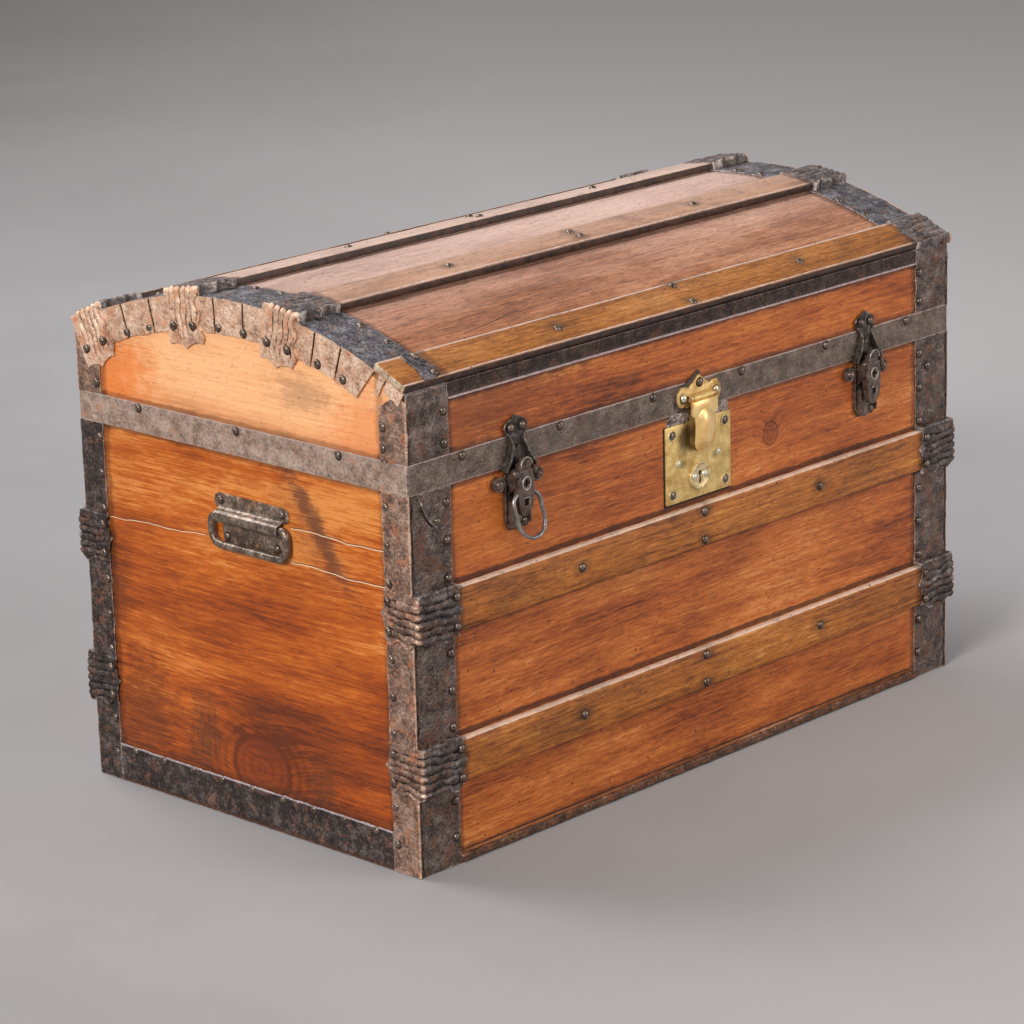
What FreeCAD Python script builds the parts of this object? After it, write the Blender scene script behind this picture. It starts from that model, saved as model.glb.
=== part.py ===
import FreeCAD, Part
import math
import os

# Dome-top trunk. Millimetres. The origin is on the floor under the middle of the case,
# +X runs to the right along the front, -Y is the front and +Z is up.

V = FreeCAD.Vector

# Case and lid
case_length = 833.0            # over the iron edging, end to end
case_depth = 473.0             # over the iron edging, front to back
base_height = 385.0            # floor to the parting line
lid_side = 99.0                # parting line to the edge of the dome, front and back
dome_rise = 57.0               # crown of the dome above its edge
wall = 11.0                    # front, back and end boards
bottom_wall = 12.0             # bottom boards
top_wall = 6.0                 # bent boards of the dome
parting_gap = 0.3              # under the rim of the closed lid
board_seam = 0.2               # between boards laid side by side

# Sheet-iron edging
iron = 1.2                     # sheet thickness
floor_clearance = 1.0          # edging ends this far above the floor
front_flange = 56.0            # corner edging, on the front and back
end_flange = 36.0              # corner edging, on the ends
sill_height = 41.0             # edging along the foot of each end
moulding_height = 10.0         # strip along the foot of the front and back
moulding_depth = 3.0
dome_end_flange = 35.0         # dome edging, on the ends
dome_top_flange = 58.0         # dome edging, on top
shoulder_strip = 11.0          # strip along the top of the lid's front and back boards
shoulder_strip_drop = 3.5      # its distance below the edge of the dome
band_height = 30.1             # flat band round the rim of the lid
band = 1.6

# Hardwood slats and their iron end clamps
slat = 8.0                     # thickness above the edging
slat_width = 45.0
lock_slat_gap = 6.8            # lock plate to the upper slat
lower_slat_share = 0.4138      # height of the lower slat, as a share of the upper one's
slat_inset = 4.0               # slat end to the face of the case end
slat_round = 1.5               # along the slat's long edges
dome_slat_width = 42.5
dome_slat_offset = 71.0        # middle of the inner dome slats, each side of the crown
shoulder_slat_overhang = 1.0   # outer dome slats, past the front and back
clamp = 2.8                    # wall of a clamp
clamp_reach = 54.0             # along the slat
clamp_end_reach = 36.0         # round the corner, along the end
dome_clamp_drop = 46.0         # down the end, below the dome's edging
ridge_count = 4                # grooves that leave ridges along each clamp
ridge_groove = 1.5             # radius of a groove
scallop = 5.0                  # radius of the bites out of a clamp's inner edge
tab = 1.2                      # iron tab across the slat end that has no clamp
tab_width = 22.0
tab_inset = 34.0               # its outer edge, from the case end

# Nails
nail_head = 3.4                # radius
nail_rise = 2.2                # height of the domed head
nail_shank = 0.9
nail_length = 8.0
edge_nail_inset = 6.0          # nail to the inner edge of its strip
sill_nail_inset = 4.0          # nail to the top edge of the foot's edging
edge_nail_pitch = 36.8
edge_nail_start = 30.0         # first nail above the floor
end_nail_pitch = 46.0
slat_nail_inset = 230.5        # single slat nails, from the case end
slat_nail_spread = 15.0        # a pair of nails, each side of the slat's middle
band_nail_drop = 4.5           # below the band's top edge
band_nail_pitch = 144.0
latch_nail_inset = 5.0         # from the side of a latch base
latch_nail_rise = 7.0          # above its foot

# Lock, in the front board
lock_width = 101.0
lock_height = 81.6
lock_drop = 11.4               # its top edge below the parting line
lock_sheet = 1.6
lock_corner = 2.0
lock_screw_inset = 9.5
lock_screw_head = 5.2
lock_screw_rise = 2.6
lock_screw_shank = 2.0
lock_rivet_head = 3.6
lock_rivet_rise = 2.0
lock_rivet_spread = 31.0
escutcheon_width = 32.0
escutcheon_height = 28.0
escutcheon_sheet = 2.4
escutcheon_drop = 18.0         # below the middle of the plate
keyhole_radius = 2.2
keyhole_slot = 2.2
keyhole_length = 9.0
lock_case_width = 62.0
lock_case_height = 44.0
lock_case_depth = 14.5         # from the back of the plate
lock_case_sheet = 1.5
lock_case_fit = 0.3            # round the case in its mortise
bolt_height = 12.0
bolt_thick = 5.0
bolt_travel = 9.0              # room for the bolt to slide to the right
bolt_fit = 0.3                 # round the bolt in its guides
bolt_guide = 2.0

# Hasp, on the lid
crown_width = 68.0
crown_sheet = 2.0
crown_height = 32.5
crown_drop = 10.0              # foot of the crown plate, below the hinge axis
hasp_rise = 14.0               # hinge axis above the parting line
knuckle_radius = 3.6
hasp_pin_radius = 1.7
pin_fit = 0.06                 # radial play of a pin in its knuckle
knuckle_gap = 0.35             # between knuckles, and behind them
tongue_width = 31.0
tongue_head_width = 39.0
tongue_head_drop = 19.0        # foot of the wider head, below the axis
tongue_length = 59.0           # axis to the foot
tongue_front = 10.5            # its front face, in front of the case
tongue_sheet = 2.0
tongue_play = 1.0              # between its back edges and the lock plate
hasp_knuckle_width = 28.0

# Lever latches, either side of the lock
latch_inset = 146.5            # middle of a latch, from the case end
latch_pivot_drop = 2.0         # below the parting line
latch_pivot_stand = 18.5       # in front of the case
latch_pin_radius = 1.8
latch_base_sheet = 2.5
latch_base_foot = 63.0         # foot of the base plate, below the pivot
latch_base_head = 4.0          # its top edge, below the pivot
latch_base_width = 31.0
latch_boss_spread = 27.0
latch_boss_drop = 12.0         # below the pivot
latch_boss_radius = 7.5
ear = 2.5
ear_gap = 0.5                  # each side of the lever
ear_radius = 7.5
lever_width = 22.0
lever_length = 48.0            # pivot to the foot
lever_nose = 9.5               # radius of the half-round nose
lever_nose_rise = 4.5          # middle of the nose above the pivot
lever_back = 8.0               # its back, in front of the case
lever_front = 22.5
lever_pocket = 4.0             # depth of the marks pressed into its face
cross_drop = 14.0              # middle of the cross mark, below the pivot
square_drop = 33.0             # middle of the square mark, below the pivot
catch_sheet = 2.0
catch_rise = 54.0              # top of the catch, above the pivot
catch_height = 55.0
catch_clear = 4.5              # side wall to the ears
catch_nail_drop = 13.0
catch_nail_spread = 8.0
catch_hole = 2.0
catch_skirt = 11.5             # depth of the side walls, in front of the band
ring_wire = 1.8                # radius
ring_shoulder = 5.0            # radius of its upper bends
ring_flat = 2.5                # half of the straight part at its foot
ring_width = 46.0              # over the wire
ring_drop = 25.0               # its pivot, below the lever's
ring_stand = 13.0
ring_length = 44.0             # its pivot to its foot
ring_fit = 0.3

# End handles
handle_centre = -17.0          # along Y
handle_width = 106.0
handle_height = 55.0
handle_drop = 42.0             # its top edge below the parting line
handle_sheet = 1.5
handle_corner = 9.0
hood_width = 90.0
hood_drop = 22.0               # the bail's pivot, below the top of the plate
hood_wall = 2.0
bail_rod = 4.1                 # radius
bail_fit = 0.35
bail_width = 116.0             # over the rod
bail_length = 34.0             # its pivot to its lower edge
bail_bend = 13.0               # radius of the lower bends, at the rod's middle
bail_shoulder = 7.5            # radius of the upper bends

# Back hinges
hinge_inset = 166.5            # middle of a hinge, from the case end
hinge_width = 64.0
hinge_leaf = 2.0
hinge_leaf_height = 48.0
hinge_radius = 5.0
hinge_pin_radius = 2.4
hinge_stand = 1.0              # knuckle clear of the case back
hinge_leaf_gap = 0.6           # leaf clear of the other leaf's knuckle

# Worked out from the sizes above
half_length = case_length / 2
half_depth = case_depth / 2
board_x = half_length - iron
board_y = half_depth - iron
shoulder_height = base_height + lid_side
lock_bottom = base_height - lock_drop - lock_height
upper_slat = lock_bottom - lock_slat_gap - slat_width / 2
slat_levels = (upper_slat * lower_slat_share, upper_slat)
lid_bottom = base_height + parting_gap
band_top = lid_bottom + band_height
band_face = board_y + band
dome_radius = (half_depth ** 2 + dome_rise ** 2) / (2 * dome_rise)
dome_z = shoulder_height + dome_rise - dome_radius
board_radius = dome_radius - iron
inside_radius = board_radius - top_wall
slat_face = half_depth + slat
sky = shoulder_height + 2 * dome_rise


def box(x0, x1, y0, y1, z0, z1):
    return Part.makeBox(x1 - x0, y1 - y0, z1 - z0, V(x0, y0, z0))


def rod(radius, start, end):
    along = end - start
    return Part.makeCylinder(radius, along.Length, start, along)


def dome(radius, x0, x1):
    return rod(radius, V(x0, 0, dome_z), V(x1, 0, dome_z))


def front_plate(points, y0, y1):
    """A flat outline of (x, z) points, made solid from y0 to y1."""
    wire = Part.makePolygon([V(x, y0, z) for x, z in points + points[:1]])
    return Part.Face(wire).extrude(V(0, y1 - y0, 0))


def side_plate(points, x0, x1):
    """A flat outline of (y, z) points, made solid from x0 to x1."""
    wire = Part.makePolygon([V(x0, y, z) for y, z in points + points[:1]])
    return Part.Face(wire).extrude(V(x1 - x0, 0, 0))


def flip_x(shape):
    return shape.mirror(V(0, 0, 0), V(1, 0, 0))


def flip_y(shape):
    return shape.mirror(V(0, 0, 0), V(0, 1, 0))


def to_corner(shape, side, face):
    """Carries a shape made at the front left to another corner; -1 is left and front."""
    if side > 0:
        shape = flip_x(shape)
    if face > 0:
        shape = flip_y(shape)
    return shape


def rolled(shape, y):
    """Turns a shape made at the crown round the dome, to the place at y."""
    angle = math.degrees(math.asin(y / dome_radius))
    turned = shape.copy()
    turned.rotate(V(0, 0, dome_z), V(1, 0, 0), -angle)
    return turned


def y_edges(solid, coordinate):
    """Edges that lie in the plane of one y."""
    return [e for e in solid.Edges
            if abs(e.BoundBox.YMin - coordinate) < 0.01 and abs(e.BoundBox.YMax - coordinate) < 0.01]


def nail(point, outward, head=nail_head, rise=nail_rise, shank=nail_shank, length=nail_length):
    """A round-headed nail whose head sits at a point and whose shank goes into the wood."""
    ball = (head ** 2 + rise ** 2) / (2 * rise)
    cap = Part.makeSphere(ball, V(0, 0, rise - ball))
    cap = cap.common(box(-ball, ball, -ball, ball, 0, rise))
    whole = cap.fuse(rod(shank, V(0, 0, -length), V(0, 0, rise / 2))).removeSplitter()
    turn = FreeCAD.Rotation(V(0, 0, 1), outward)
    whole.Placement = FreeCAD.Placement(point, turn)
    return whole


def evenly(first, last, pitch):
    count = max(1, round((last - first) / pitch))
    return [first + (last - first) * i / count for i in range(count + 1)]


parts = {}


def keep(name, *solids):
    parts[name] = solids[0] if len(solids) == 1 else Part.Compound(list(solids))


# Base: five boards, butted and nailed
front_board = box(-board_x, board_x, -board_y, wall - board_y, bottom_wall, base_height)
end_board = box(-board_x, wall - board_x, wall - board_y, board_y - wall, bottom_wall, base_height)
keep("bottom_board", box(-board_x, board_x, -board_y, board_y, 0, bottom_wall))
keep("back_board", flip_y(front_board))
keep("left_end_board", end_board)
keep("right_end_board", flip_x(end_board))

# Base edging: an angle up each corner, a strip along each foot
corner_iron = box(-half_length, front_flange - half_length, -half_depth, -board_y,
                  floor_clearance, base_height)
corner_iron = corner_iron.fuse(box(-half_length, -board_x, -half_depth, end_flange - half_depth,
                                   floor_clearance, base_height)).removeSplitter()
base_corner_irons = {}
for side_name, side in (("left", -1), ("right", 1)):
    for face_name, face in (("front", -1), ("back", 1)):
        iron_angle = to_corner(corner_iron, side, face)
        base_corner_irons[side, face] = iron_angle
        keep("corner_iron_" + face_name + "_" + side_name, iron_angle)
end_sill = box(-half_length, -board_x, end_flange - half_depth, half_depth - end_flange,
               floor_clearance, sill_height)
keep("end_sill_irons", end_sill, flip_x(end_sill))
foot_strip = box(front_flange - half_length, half_length - front_flange,
                 -board_y - moulding_depth, -board_y, floor_clearance, moulding_height)
keep("foot_strips", foot_strip, flip_y(foot_strip))


def base_slat(level, face):
    bar = box(slat_inset - half_length, half_length - slat_inset, -slat_face, -board_y,
              level - slat_width / 2, level + slat_width / 2)
    bar = bar.makeFillet(slat_round, [e for e in y_edges(bar, -slat_face) if e.Length > case_depth])
    if face > 0:
        bar = flip_y(bar)
    return bar.cut([base_corner_irons[side, face] for side in (-1, 1)])


base_slats = {}
for row_name, level in zip(("lower", "upper"), slat_levels):
    for face_name, face in (("front", -1), ("back", 1)):
        base_slats[level, face] = base_slat(level, face)
        keep(face_name + "_slat_" + row_name, base_slats[level, face])


def grooves(start, end, across):
    """Round grooves along a clamp's face, which leave ridges between them."""
    step = across * (1.0 / (ridge_count + 1))
    return [rod(ridge_groove, start + step * (i + 1), end + step * (i + 1))
            for i in range(ridge_count)]


def base_clamp(level):
    """Caps the slat's end at the front left corner and laps round onto the end."""
    low = level - slat_width / 2 - clamp
    high = level + slat_width / 2 + clamp
    end_face = -half_length - clamp
    front_face = -slat_face - clamp
    inner = clamp_reach - half_length
    whole = box(end_face, inner, front_face, -half_depth, low, high)
    whole = whole.fuse(box(end_face, -half_length, -half_depth, clamp_end_reach - half_depth, low, high))
    whole = whole.removeSplitter()
    cuts = grooves(V(end_face, front_face, low), V(inner - 2 * scallop, front_face, low),
                   V(0, 0, high - low))
    cuts += grooves(V(end_face, front_face, low),
                    V(end_face, clamp_end_reach - half_depth - scallop, low), V(0, 0, high - low))
    for height in (low, high):
        cuts.append(rod(scallop, V(inner, front_face - 1, height), V(inner, -half_depth, height)))
        cuts.append(rod(scallop, V(end_face - 1, clamp_end_reach - half_depth, height),
                        V(-half_length, clamp_end_reach - half_depth, height)))
    return whole.cut(cuts + [base_slats[level, -1]])


base_clamps = {-1: [], 1: []}
for level in slat_levels:
    made = base_clamp(level)
    for face in (-1, 1):
        for side in (-1, 1):
            base_clamps[face].append(to_corner(made, side, face))
keep("front_slat_clamps", *base_clamps[-1])
keep("back_slat_clamps", *base_clamps[1])

# Lid: two rim boards, two domed ends and three bent boards over them
lid_front = box(-board_x, board_x, -board_y, wall - board_y, lid_bottom, sky)
lid_front = lid_front.common(dome(inside_radius, -half_length, half_length))
keep("lid_front_board", lid_front)
keep("lid_back_board", flip_y(lid_front))
lid_end = box(-board_x, wall - board_x, wall - board_y, board_y - wall, lid_bottom, sky)
lid_end = lid_end.common(dome(inside_radius, -half_length, half_length))
keep("lid_left_end_board", lid_end)
keep("lid_right_end_board", flip_x(lid_end))
bent = dome(board_radius, -board_x, board_x).cut(dome(inside_radius, -half_length, half_length))
seams = (-board_y, -dome_slat_offset, dome_slat_offset, board_y)
keep("lid_top_boards", *[bent.common(box(-board_x, board_x, y0 + board_seam / 2, y1 - board_seam / 2,
                                         shoulder_height - dome_rise, sky))
                         for y0, y1 in zip(seams, seams[1:])])

# Lid edging
outer_rim = box(-board_x - band, board_x + band, -band_face, band_face, lid_bottom, band_top)
keep("lid_band", outer_rim.cut(box(-board_x, board_x, -board_y, board_y, lid_bottom, band_top)))
end_arc = dome(dome_radius, -half_length, -board_x)
end_arc = end_arc.cut(dome(dome_radius - dome_end_flange, -half_length, -board_x))
top_arc = dome(dome_radius, -board_x, dome_top_flange - half_length)
top_arc = top_arc.cut(dome(board_radius, -half_length, half_length))
dome_iron = end_arc.fuse(top_arc).removeSplitter()
dome_iron = dome_iron.common(box(-half_length, half_length, -half_depth, half_depth, band_top, sky))
keep("lid_left_dome_iron", dome_iron)
keep("lid_right_dome_iron", flip_x(dome_iron))
lid_corner = box(-board_x, front_flange - half_length, -half_depth, -board_y, band_top, sky)
lid_corner = lid_corner.common(dome(board_radius, -half_length, half_length))
lid_corner_end = box(-half_length, -board_x, -half_depth, end_flange - half_depth, band_top, sky)
lid_corner_end = lid_corner_end.common(dome(dome_radius - dome_end_flange, -half_length, half_length))
lid_corner = lid_corner.fuse(lid_corner_end).removeSplitter()
keep("lid_corner_irons", *[to_corner(lid_corner, side, face) for side in (-1, 1) for face in (-1, 1)])
shoulder_iron = box(front_flange - half_length, half_length - front_flange, -half_depth, -board_y,
                    shoulder_height - shoulder_strip_drop - shoulder_strip,
                    shoulder_height - shoulder_strip_drop)
keep("lid_shoulder_irons", shoulder_iron, flip_y(shoulder_iron))

# Dome slats lie flat over the curve; their undersides follow it and clear the edging
shoulder_slat_offset = half_depth - dome_slat_width / 2
slat_body = box(slat_inset - half_length, half_length - slat_inset,
                -dome_slat_width / 2, dome_slat_width / 2, board_radius - slat + dome_z,
                dome_radius + slat + dome_z)
bare_end = box(-half_length, 0, -dome_slat_width / 2, dome_slat_width / 2,
               board_radius - slat + dome_z, dome_radius + slat + dome_z)
under_slats = [dome(board_radius, -half_length, half_length), dome_iron, flip_x(dome_iron)]
over_case = box(-half_length, half_length, -half_depth - shoulder_slat_overhang,
                half_depth + shoulder_slat_overhang, band_top, sky)
dome_slats = {}
for slat_name, y in (("lid_slat_front_shoulder", -shoulder_slat_offset),
                     ("lid_slat_front", -dome_slat_offset),
                     ("lid_slat_back", dome_slat_offset),
                     ("lid_slat_back_shoulder", shoulder_slat_offset)):
    body = slat_body
    if slat_name == "lid_slat_front_shoulder":
        body = slat_body.fuse(bare_end).removeSplitter()
    dome_slats[y] = rolled(body, y).cut(under_slats).common(over_case)
    keep(slat_name, dome_slats[y])


def dome_clamp(y):
    """Caps a dome slat's left end and laps down over the edging on the end."""
    half = dome_slat_width / 2 + clamp
    end_face = -half_length - clamp
    inner = clamp_reach - half_length
    top = dome_radius + dome_z + slat + clamp
    foot = dome_radius + dome_z - dome_clamp_drop
    cap = box(end_face, inner, -half, half, board_radius - slat + dome_z, top)
    lap = box(end_face, -half_length, -half + scallop / 2, half - scallop / 2, foot, top)
    cap = cap.cut([dome(dome_radius, -half_length, half_length)])
    whole = cap.fuse(lap).removeSplitter()
    cuts = grooves(V(end_face, -half, top), V(inner - 2 * scallop, -half, top), V(0, 2 * half, 0))
    cuts += grooves(V(end_face, -half, top), V(end_face, -half, foot + 2 * scallop), V(0, 2 * half, 0))
    for edge in (-half, half):
        cuts.append(rod(scallop, V(inner, edge, foot), V(inner, edge, top + 1)))
        cuts.append(rod(scallop, V(end_face - 1, edge, foot), V(0, edge, foot)))
    whole = rolled(whole.cut(cuts), y)
    sides = half_depth + shoulder_slat_overhang + clamp
    whole = whole.common(box(end_face, 0, -sides, sides, band_top, sky))
    return whole.cut([dome_slats[y]])


dome_clamps = []
for y in dome_slats:
    if y != -shoulder_slat_offset:
        dome_clamps.append(dome_clamp(y))
    dome_clamps.append(flip_x(dome_clamp(abs(y))) if y > 0 else flip_y(flip_x(dome_clamp(-y))))
keep("lid_slat_clamps", *dome_clamps)
tab_left = tab_inset - half_length
slat_top = dome_radius + dome_z + slat
tab_plate = rolled(box(tab_left, tab_left + tab_width, -dome_slat_width / 2, dome_slat_width / 2,
                       slat_top, slat_top + tab), -shoulder_slat_offset)
keep("lid_slat_tab", tab_plate.common(over_case))

# Lock: a plate over a bolt case let into the front board
lock_middle = lock_bottom + lock_height / 2
plate_back = -board_y
plate_face = plate_back - lock_sheet
lock_plate = box(-lock_width / 2, lock_width / 2, plate_face, plate_back,
                 lock_bottom, lock_bottom + lock_height)
lock_plate = lock_plate.makeFillet(lock_corner, [e for e in lock_plate.Edges
                                                 if abs(e.Length - lock_sheet) < 0.01])
key_z = lock_middle - escutcheon_drop
keyhole = rod(keyhole_radius, V(0, plate_face - escutcheon_sheet - 1, key_z + keyhole_length / 4),
              V(0, plate_back + 1, key_z + keyhole_length / 4))
keyhole = keyhole.fuse(box(-keyhole_slot / 2, keyhole_slot / 2, plate_face - escutcheon_sheet - 1,
                           plate_back + 1, key_z - keyhole_length / 2, key_z + keyhole_length / 4))
keep("lock_plate", lock_plate.cut(keyhole))
half_w = escutcheon_width / 2
half_h = escutcheon_height / 2
shield = [(-half_w, 0), (-half_w * 0.72, half_h * 0.62), (-half_w * 0.3, half_h),
          (half_w * 0.3, half_h), (half_w * 0.72, half_h * 0.62), (half_w, 0),
          (half_w * 0.72, -half_h * 0.62), (half_w * 0.3, -half_h),
          (-half_w * 0.3, -half_h), (-half_w * 0.72, -half_h * 0.62)]
shield = [(x, key_z + z) for x, z in shield]
keep("lock_escutcheon", front_plate(shield, plate_face - escutcheon_sheet, plate_face).cut(keyhole))

case_back = plate_back + lock_case_depth
case_x = lock_case_width / 2
case_low = key_z - lock_case_height / 2
case_high = key_z + lock_case_height / 2
lock_case = box(-case_x, case_x, plate_back, case_back, case_low, case_high)
lock_case = lock_case.cut(box(lock_case_sheet - case_x, case_x - lock_case_sheet, plate_back,
                              case_back - lock_case_sheet, case_low + lock_case_sheet,
                              case_high - lock_case_sheet))
bolt_low = case_high - lock_case_sheet - bolt_guide - bolt_fit - bolt_height
bolt_high = bolt_low + bolt_height
bolt_back = case_back - lock_case_sheet - bolt_fit
for low in (bolt_low - bolt_fit - bolt_guide, bolt_high + bolt_fit):
    lock_case = lock_case.fuse(box(-case_x + lock_case_sheet / 2, case_x - lock_case_sheet / 2,
                                   bolt_back - bolt_thick, case_back - lock_case_sheet / 2,
                                   low, low + bolt_guide))
keep("lock_case", lock_case.removeSplitter())
bolt_left = lock_case_sheet + bolt_fit - case_x
keep("lock_bolt", box(bolt_left, -bolt_left - bolt_travel, bolt_back - bolt_thick, bolt_back,
                      bolt_low, bolt_high))
mortise = box(-case_x - lock_case_fit, case_x + lock_case_fit, plate_back - 1, plate_back + wall + 1,
              case_low - lock_case_fit, case_high + lock_case_fit)
keep("front_board", front_board.cut(mortise))
screw_x = lock_width / 2 - lock_screw_inset
screw_z = lock_height / 2 - lock_screw_inset
keep("lock_screws", *[nail(V(x, plate_face, lock_middle + z), V(0, -1, 0), lock_screw_head,
                           lock_screw_rise, lock_screw_shank)
                      for x in (-screw_x, screw_x) for z in (-screw_z, screw_z)])
rivet_spots = [(x, plate_face, lock_middle, lock_sheet) for x in (-lock_rivet_spread, lock_rivet_spread)]
rivet_spots += [(x, plate_face - escutcheon_sheet, key_z, escutcheon_sheet + lock_sheet)
                for x in (-half_w / 2, half_w / 2)]
keep("lock_rivets", *[nail(V(x, y, z), V(0, -1, 0), lock_rivet_head, lock_rivet_rise, nail_shank, depth)
                      for x, y, z, depth in rivet_spots])

# Hasp: a crown plate on the band, a pin and a hollow tongue that hangs over the lock
crown_back = -band_face
crown_face = crown_back - crown_sheet
hasp_y = crown_face - knuckle_gap - knuckle_radius
half_crown = crown_width / 2
hasp_axis_height = base_height + hasp_rise
crown_bottom = hasp_axis_height - crown_drop
crown_shares = [(0.82, 0), (1, 0.22), (0.97, 0.44), (0.79, 0.59), (0.62, 0.53), (0.24, 0.88), (0, 1)]
crown_half = [(half_crown * x, crown_bottom + crown_height * z) for x, z in crown_shares]
crown_outline = crown_half + [(-x, z) for x, z in reversed(crown_half[:-1])]
crown = front_plate(crown_outline, crown_face, crown_back)
hasp_bore = rod(hasp_pin_radius + pin_fit, V(-half_length, hasp_y, hasp_axis_height),
                V(half_length, hasp_y, hasp_axis_height))
outer_knuckle = tongue_head_width / 2
inner_knuckle = hasp_knuckle_width / 2
for side in (-1, 1):
    start = V(side * (inner_knuckle + knuckle_gap), hasp_y, hasp_axis_height)
    end = V(side * outer_knuckle, hasp_y, hasp_axis_height)
    web = box(min(start.x, end.x), max(start.x, end.x), hasp_y, crown_face,
              hasp_axis_height, hasp_axis_height + knuckle_radius)
    crown = crown.fuse([rod(knuckle_radius, start, end), web])
keep("hasp_crown", crown.removeSplitter().cut(hasp_bore))
keep("hasp_pin", rod(hasp_pin_radius, V(-outer_knuckle, hasp_y, hasp_axis_height),
                     V(outer_knuckle, hasp_y, hasp_axis_height)))


tongue_bottom = hasp_axis_height - tongue_length
tongue_head_bottom = hasp_axis_height - tongue_head_drop


def tongue_form(shrink, back, face):
    """The tongue's outline, round at the foot, drawn in by a wall on every side."""
    half = tongue_width / 2 - shrink
    foot = tongue_bottom + tongue_width / 2
    body = box(-half, half, face, back, foot, tongue_head_bottom + 2 * tongue_sheet - shrink)
    return body.fuse(rod(half, V(0, face, foot), V(0, back, foot))).removeSplitter()


tongue_face = -half_depth - tongue_front
tongue = tongue_form(0, plate_face - tongue_play, tongue_face)
tongue = tongue.makeFillet(tongue_sheet, y_edges(tongue, tongue_face))
tongue = tongue.cut(tongue_form(tongue_sheet, 0, tongue_face + tongue_sheet))
head_top = hasp_axis_height - knuckle_radius - knuckle_gap
tongue = tongue.fuse([
    box(-outer_knuckle, outer_knuckle, tongue_face + 1, tongue_face + 1 + tongue_sheet,
        tongue_head_bottom, head_top),
    box(-inner_knuckle, inner_knuckle, tongue_face + 1, tongue_face + 1 + tongue_sheet,
        head_top, hasp_axis_height),
    rod(knuckle_radius, V(-inner_knuckle, hasp_y, hasp_axis_height),
        V(inner_knuckle, hasp_y, hasp_axis_height))])
keep("hasp_tongue", tongue.removeSplitter().cut(hasp_bore))

# Lever latches, made at x = 0 and moved to their places
latch_pivot_height = base_height - latch_pivot_drop
latch_base_bottom = latch_pivot_height - latch_base_foot
latch_base_top = latch_pivot_height - latch_base_head
latch_boss_height = latch_pivot_height - latch_boss_drop
lever_bottom = latch_pivot_height - lever_length
catch_top = latch_pivot_height + catch_rise
ring_height = latch_pivot_height - ring_drop
pivot_y = -half_depth - latch_pivot_stand
base_back = -board_y
base_face = -half_depth - latch_base_sheet
ear_in = lever_width / 2 + ear_gap
half_base = latch_base_width / 2
base_outline = [(-half_base + 3, latch_base_bottom), (-half_base, latch_base_bottom + 5),
                (-half_base, latch_base_top), (half_base, latch_base_top),
                (half_base, latch_base_bottom + 5), (half_base - 3, latch_base_bottom)]
latch_base = front_plate(base_outline, base_face, base_back)
for side in (-1, 1):
    x = side * latch_boss_spread
    disc = rod(latch_boss_radius, V(x, base_face, latch_boss_height), V(x, base_back, latch_boss_height))
    arm = box(min(0, x), max(0, x), base_face, base_back, latch_boss_height - latch_boss_radius / 2,
              latch_boss_height + latch_boss_radius / 2)
    knob = Part.makeSphere(latch_boss_radius - 1, V(x, base_face, latch_boss_height))
    knob = knob.common(box(x - latch_boss_radius, x + latch_boss_radius, base_face - latch_boss_radius,
                           base_back, latch_boss_height - latch_boss_radius,
                           latch_boss_height + latch_boss_radius))
    ear_outline = [(base_face + 1, ring_height + 8), (base_face + 1, latch_base_top),
                   (base_face - 1, latch_base_top), (pivot_y + 4, latch_pivot_height + ear_radius - 1),
                   (pivot_y, latch_pivot_height), (pivot_y, latch_pivot_height - ear_radius)]
    x_in = side * ear_in
    x_out = side * (ear_in + ear)
    cheek = side_plate(ear_outline, min(x_in, x_out), max(x_in, x_out))
    eye = rod(ear_radius, V(x_in, pivot_y, latch_pivot_height), V(x_out, pivot_y, latch_pivot_height))
    rail = box(min(x_in, x_out), max(x_in, x_out), lever_back / -2 - half_depth - 2, base_back,
               latch_base_bottom + 5, ring_height - 2 * ring_wire)
    latch_base = latch_base.fuse([disc, arm, knob, cheek, eye, rail])
latch_bore = rod(latch_pin_radius + pin_fit, V(-half_length, pivot_y, latch_pivot_height),
                 V(half_length, pivot_y, latch_pivot_height))
latch_base = latch_base.removeSplitter().cut(latch_bore)
latch_pin = rod(latch_pin_radius, V(-ear_in - ear, pivot_y, latch_pivot_height),
                V(ear_in + ear, pivot_y, latch_pivot_height))

half_lever = lever_width / 2
lever_front_y = -half_depth - lever_front
lever_back_y = -half_depth - lever_back
nose_z = latch_pivot_height + lever_nose_rise
lever_side = [(lever_back_y, latch_pivot_height), (lever_back_y, lever_bottom + 6),
              (lever_back_y - 3, lever_bottom), (lever_front_y + 6, lever_bottom),
              (lever_front_y + 1, lever_bottom + 14), (lever_front_y, lever_bottom + 28),
              (lever_front_y, nose_z), (pivot_y + 3, nose_z)]
lever_outline = [(-half_lever, nose_z), (-half_lever, lever_bottom + 14), (-half_lever + 4, lever_bottom),
                 (half_lever - 4, lever_bottom), (half_lever, lever_bottom + 14), (half_lever, nose_z)]
lever = side_plate(lever_side, -half_lever, half_lever)
lever = lever.common(front_plate(lever_outline, lever_front_y, lever_back_y))
lever = lever.fuse(rod(lever_nose, V(0, lever_front_y, nose_z), V(0, pivot_y + 3, nose_z)))
lever = lever.removeSplitter()
cross_z = latch_pivot_height - cross_drop
square_z = latch_pivot_height - square_drop
marks = [box(-1.3, 1.3, lever_front_y, lever_front_y + lever_pocket, cross_z - 4, cross_z + 4),
         box(-4, 4, lever_front_y, lever_front_y + lever_pocket, cross_z - 1.3, cross_z + 1.3),
         box(-2.5, 2.5, lever_front_y, lever_front_y + lever_pocket, square_z - 4, square_z + 3),
         box(-half_lever + 3, half_lever - 3, lever_front_y, lever_front_y + 1.5,
             latch_pivot_height - 1, latch_pivot_height + 1.5)]
lever = lever.cut(marks).cut(latch_bore)
ring_y = -half_depth - ring_stand
ring_bore = rod(ring_wire + ring_fit, V(-half_lever, ring_y, ring_height), V(half_lever, ring_y, ring_height))
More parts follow.
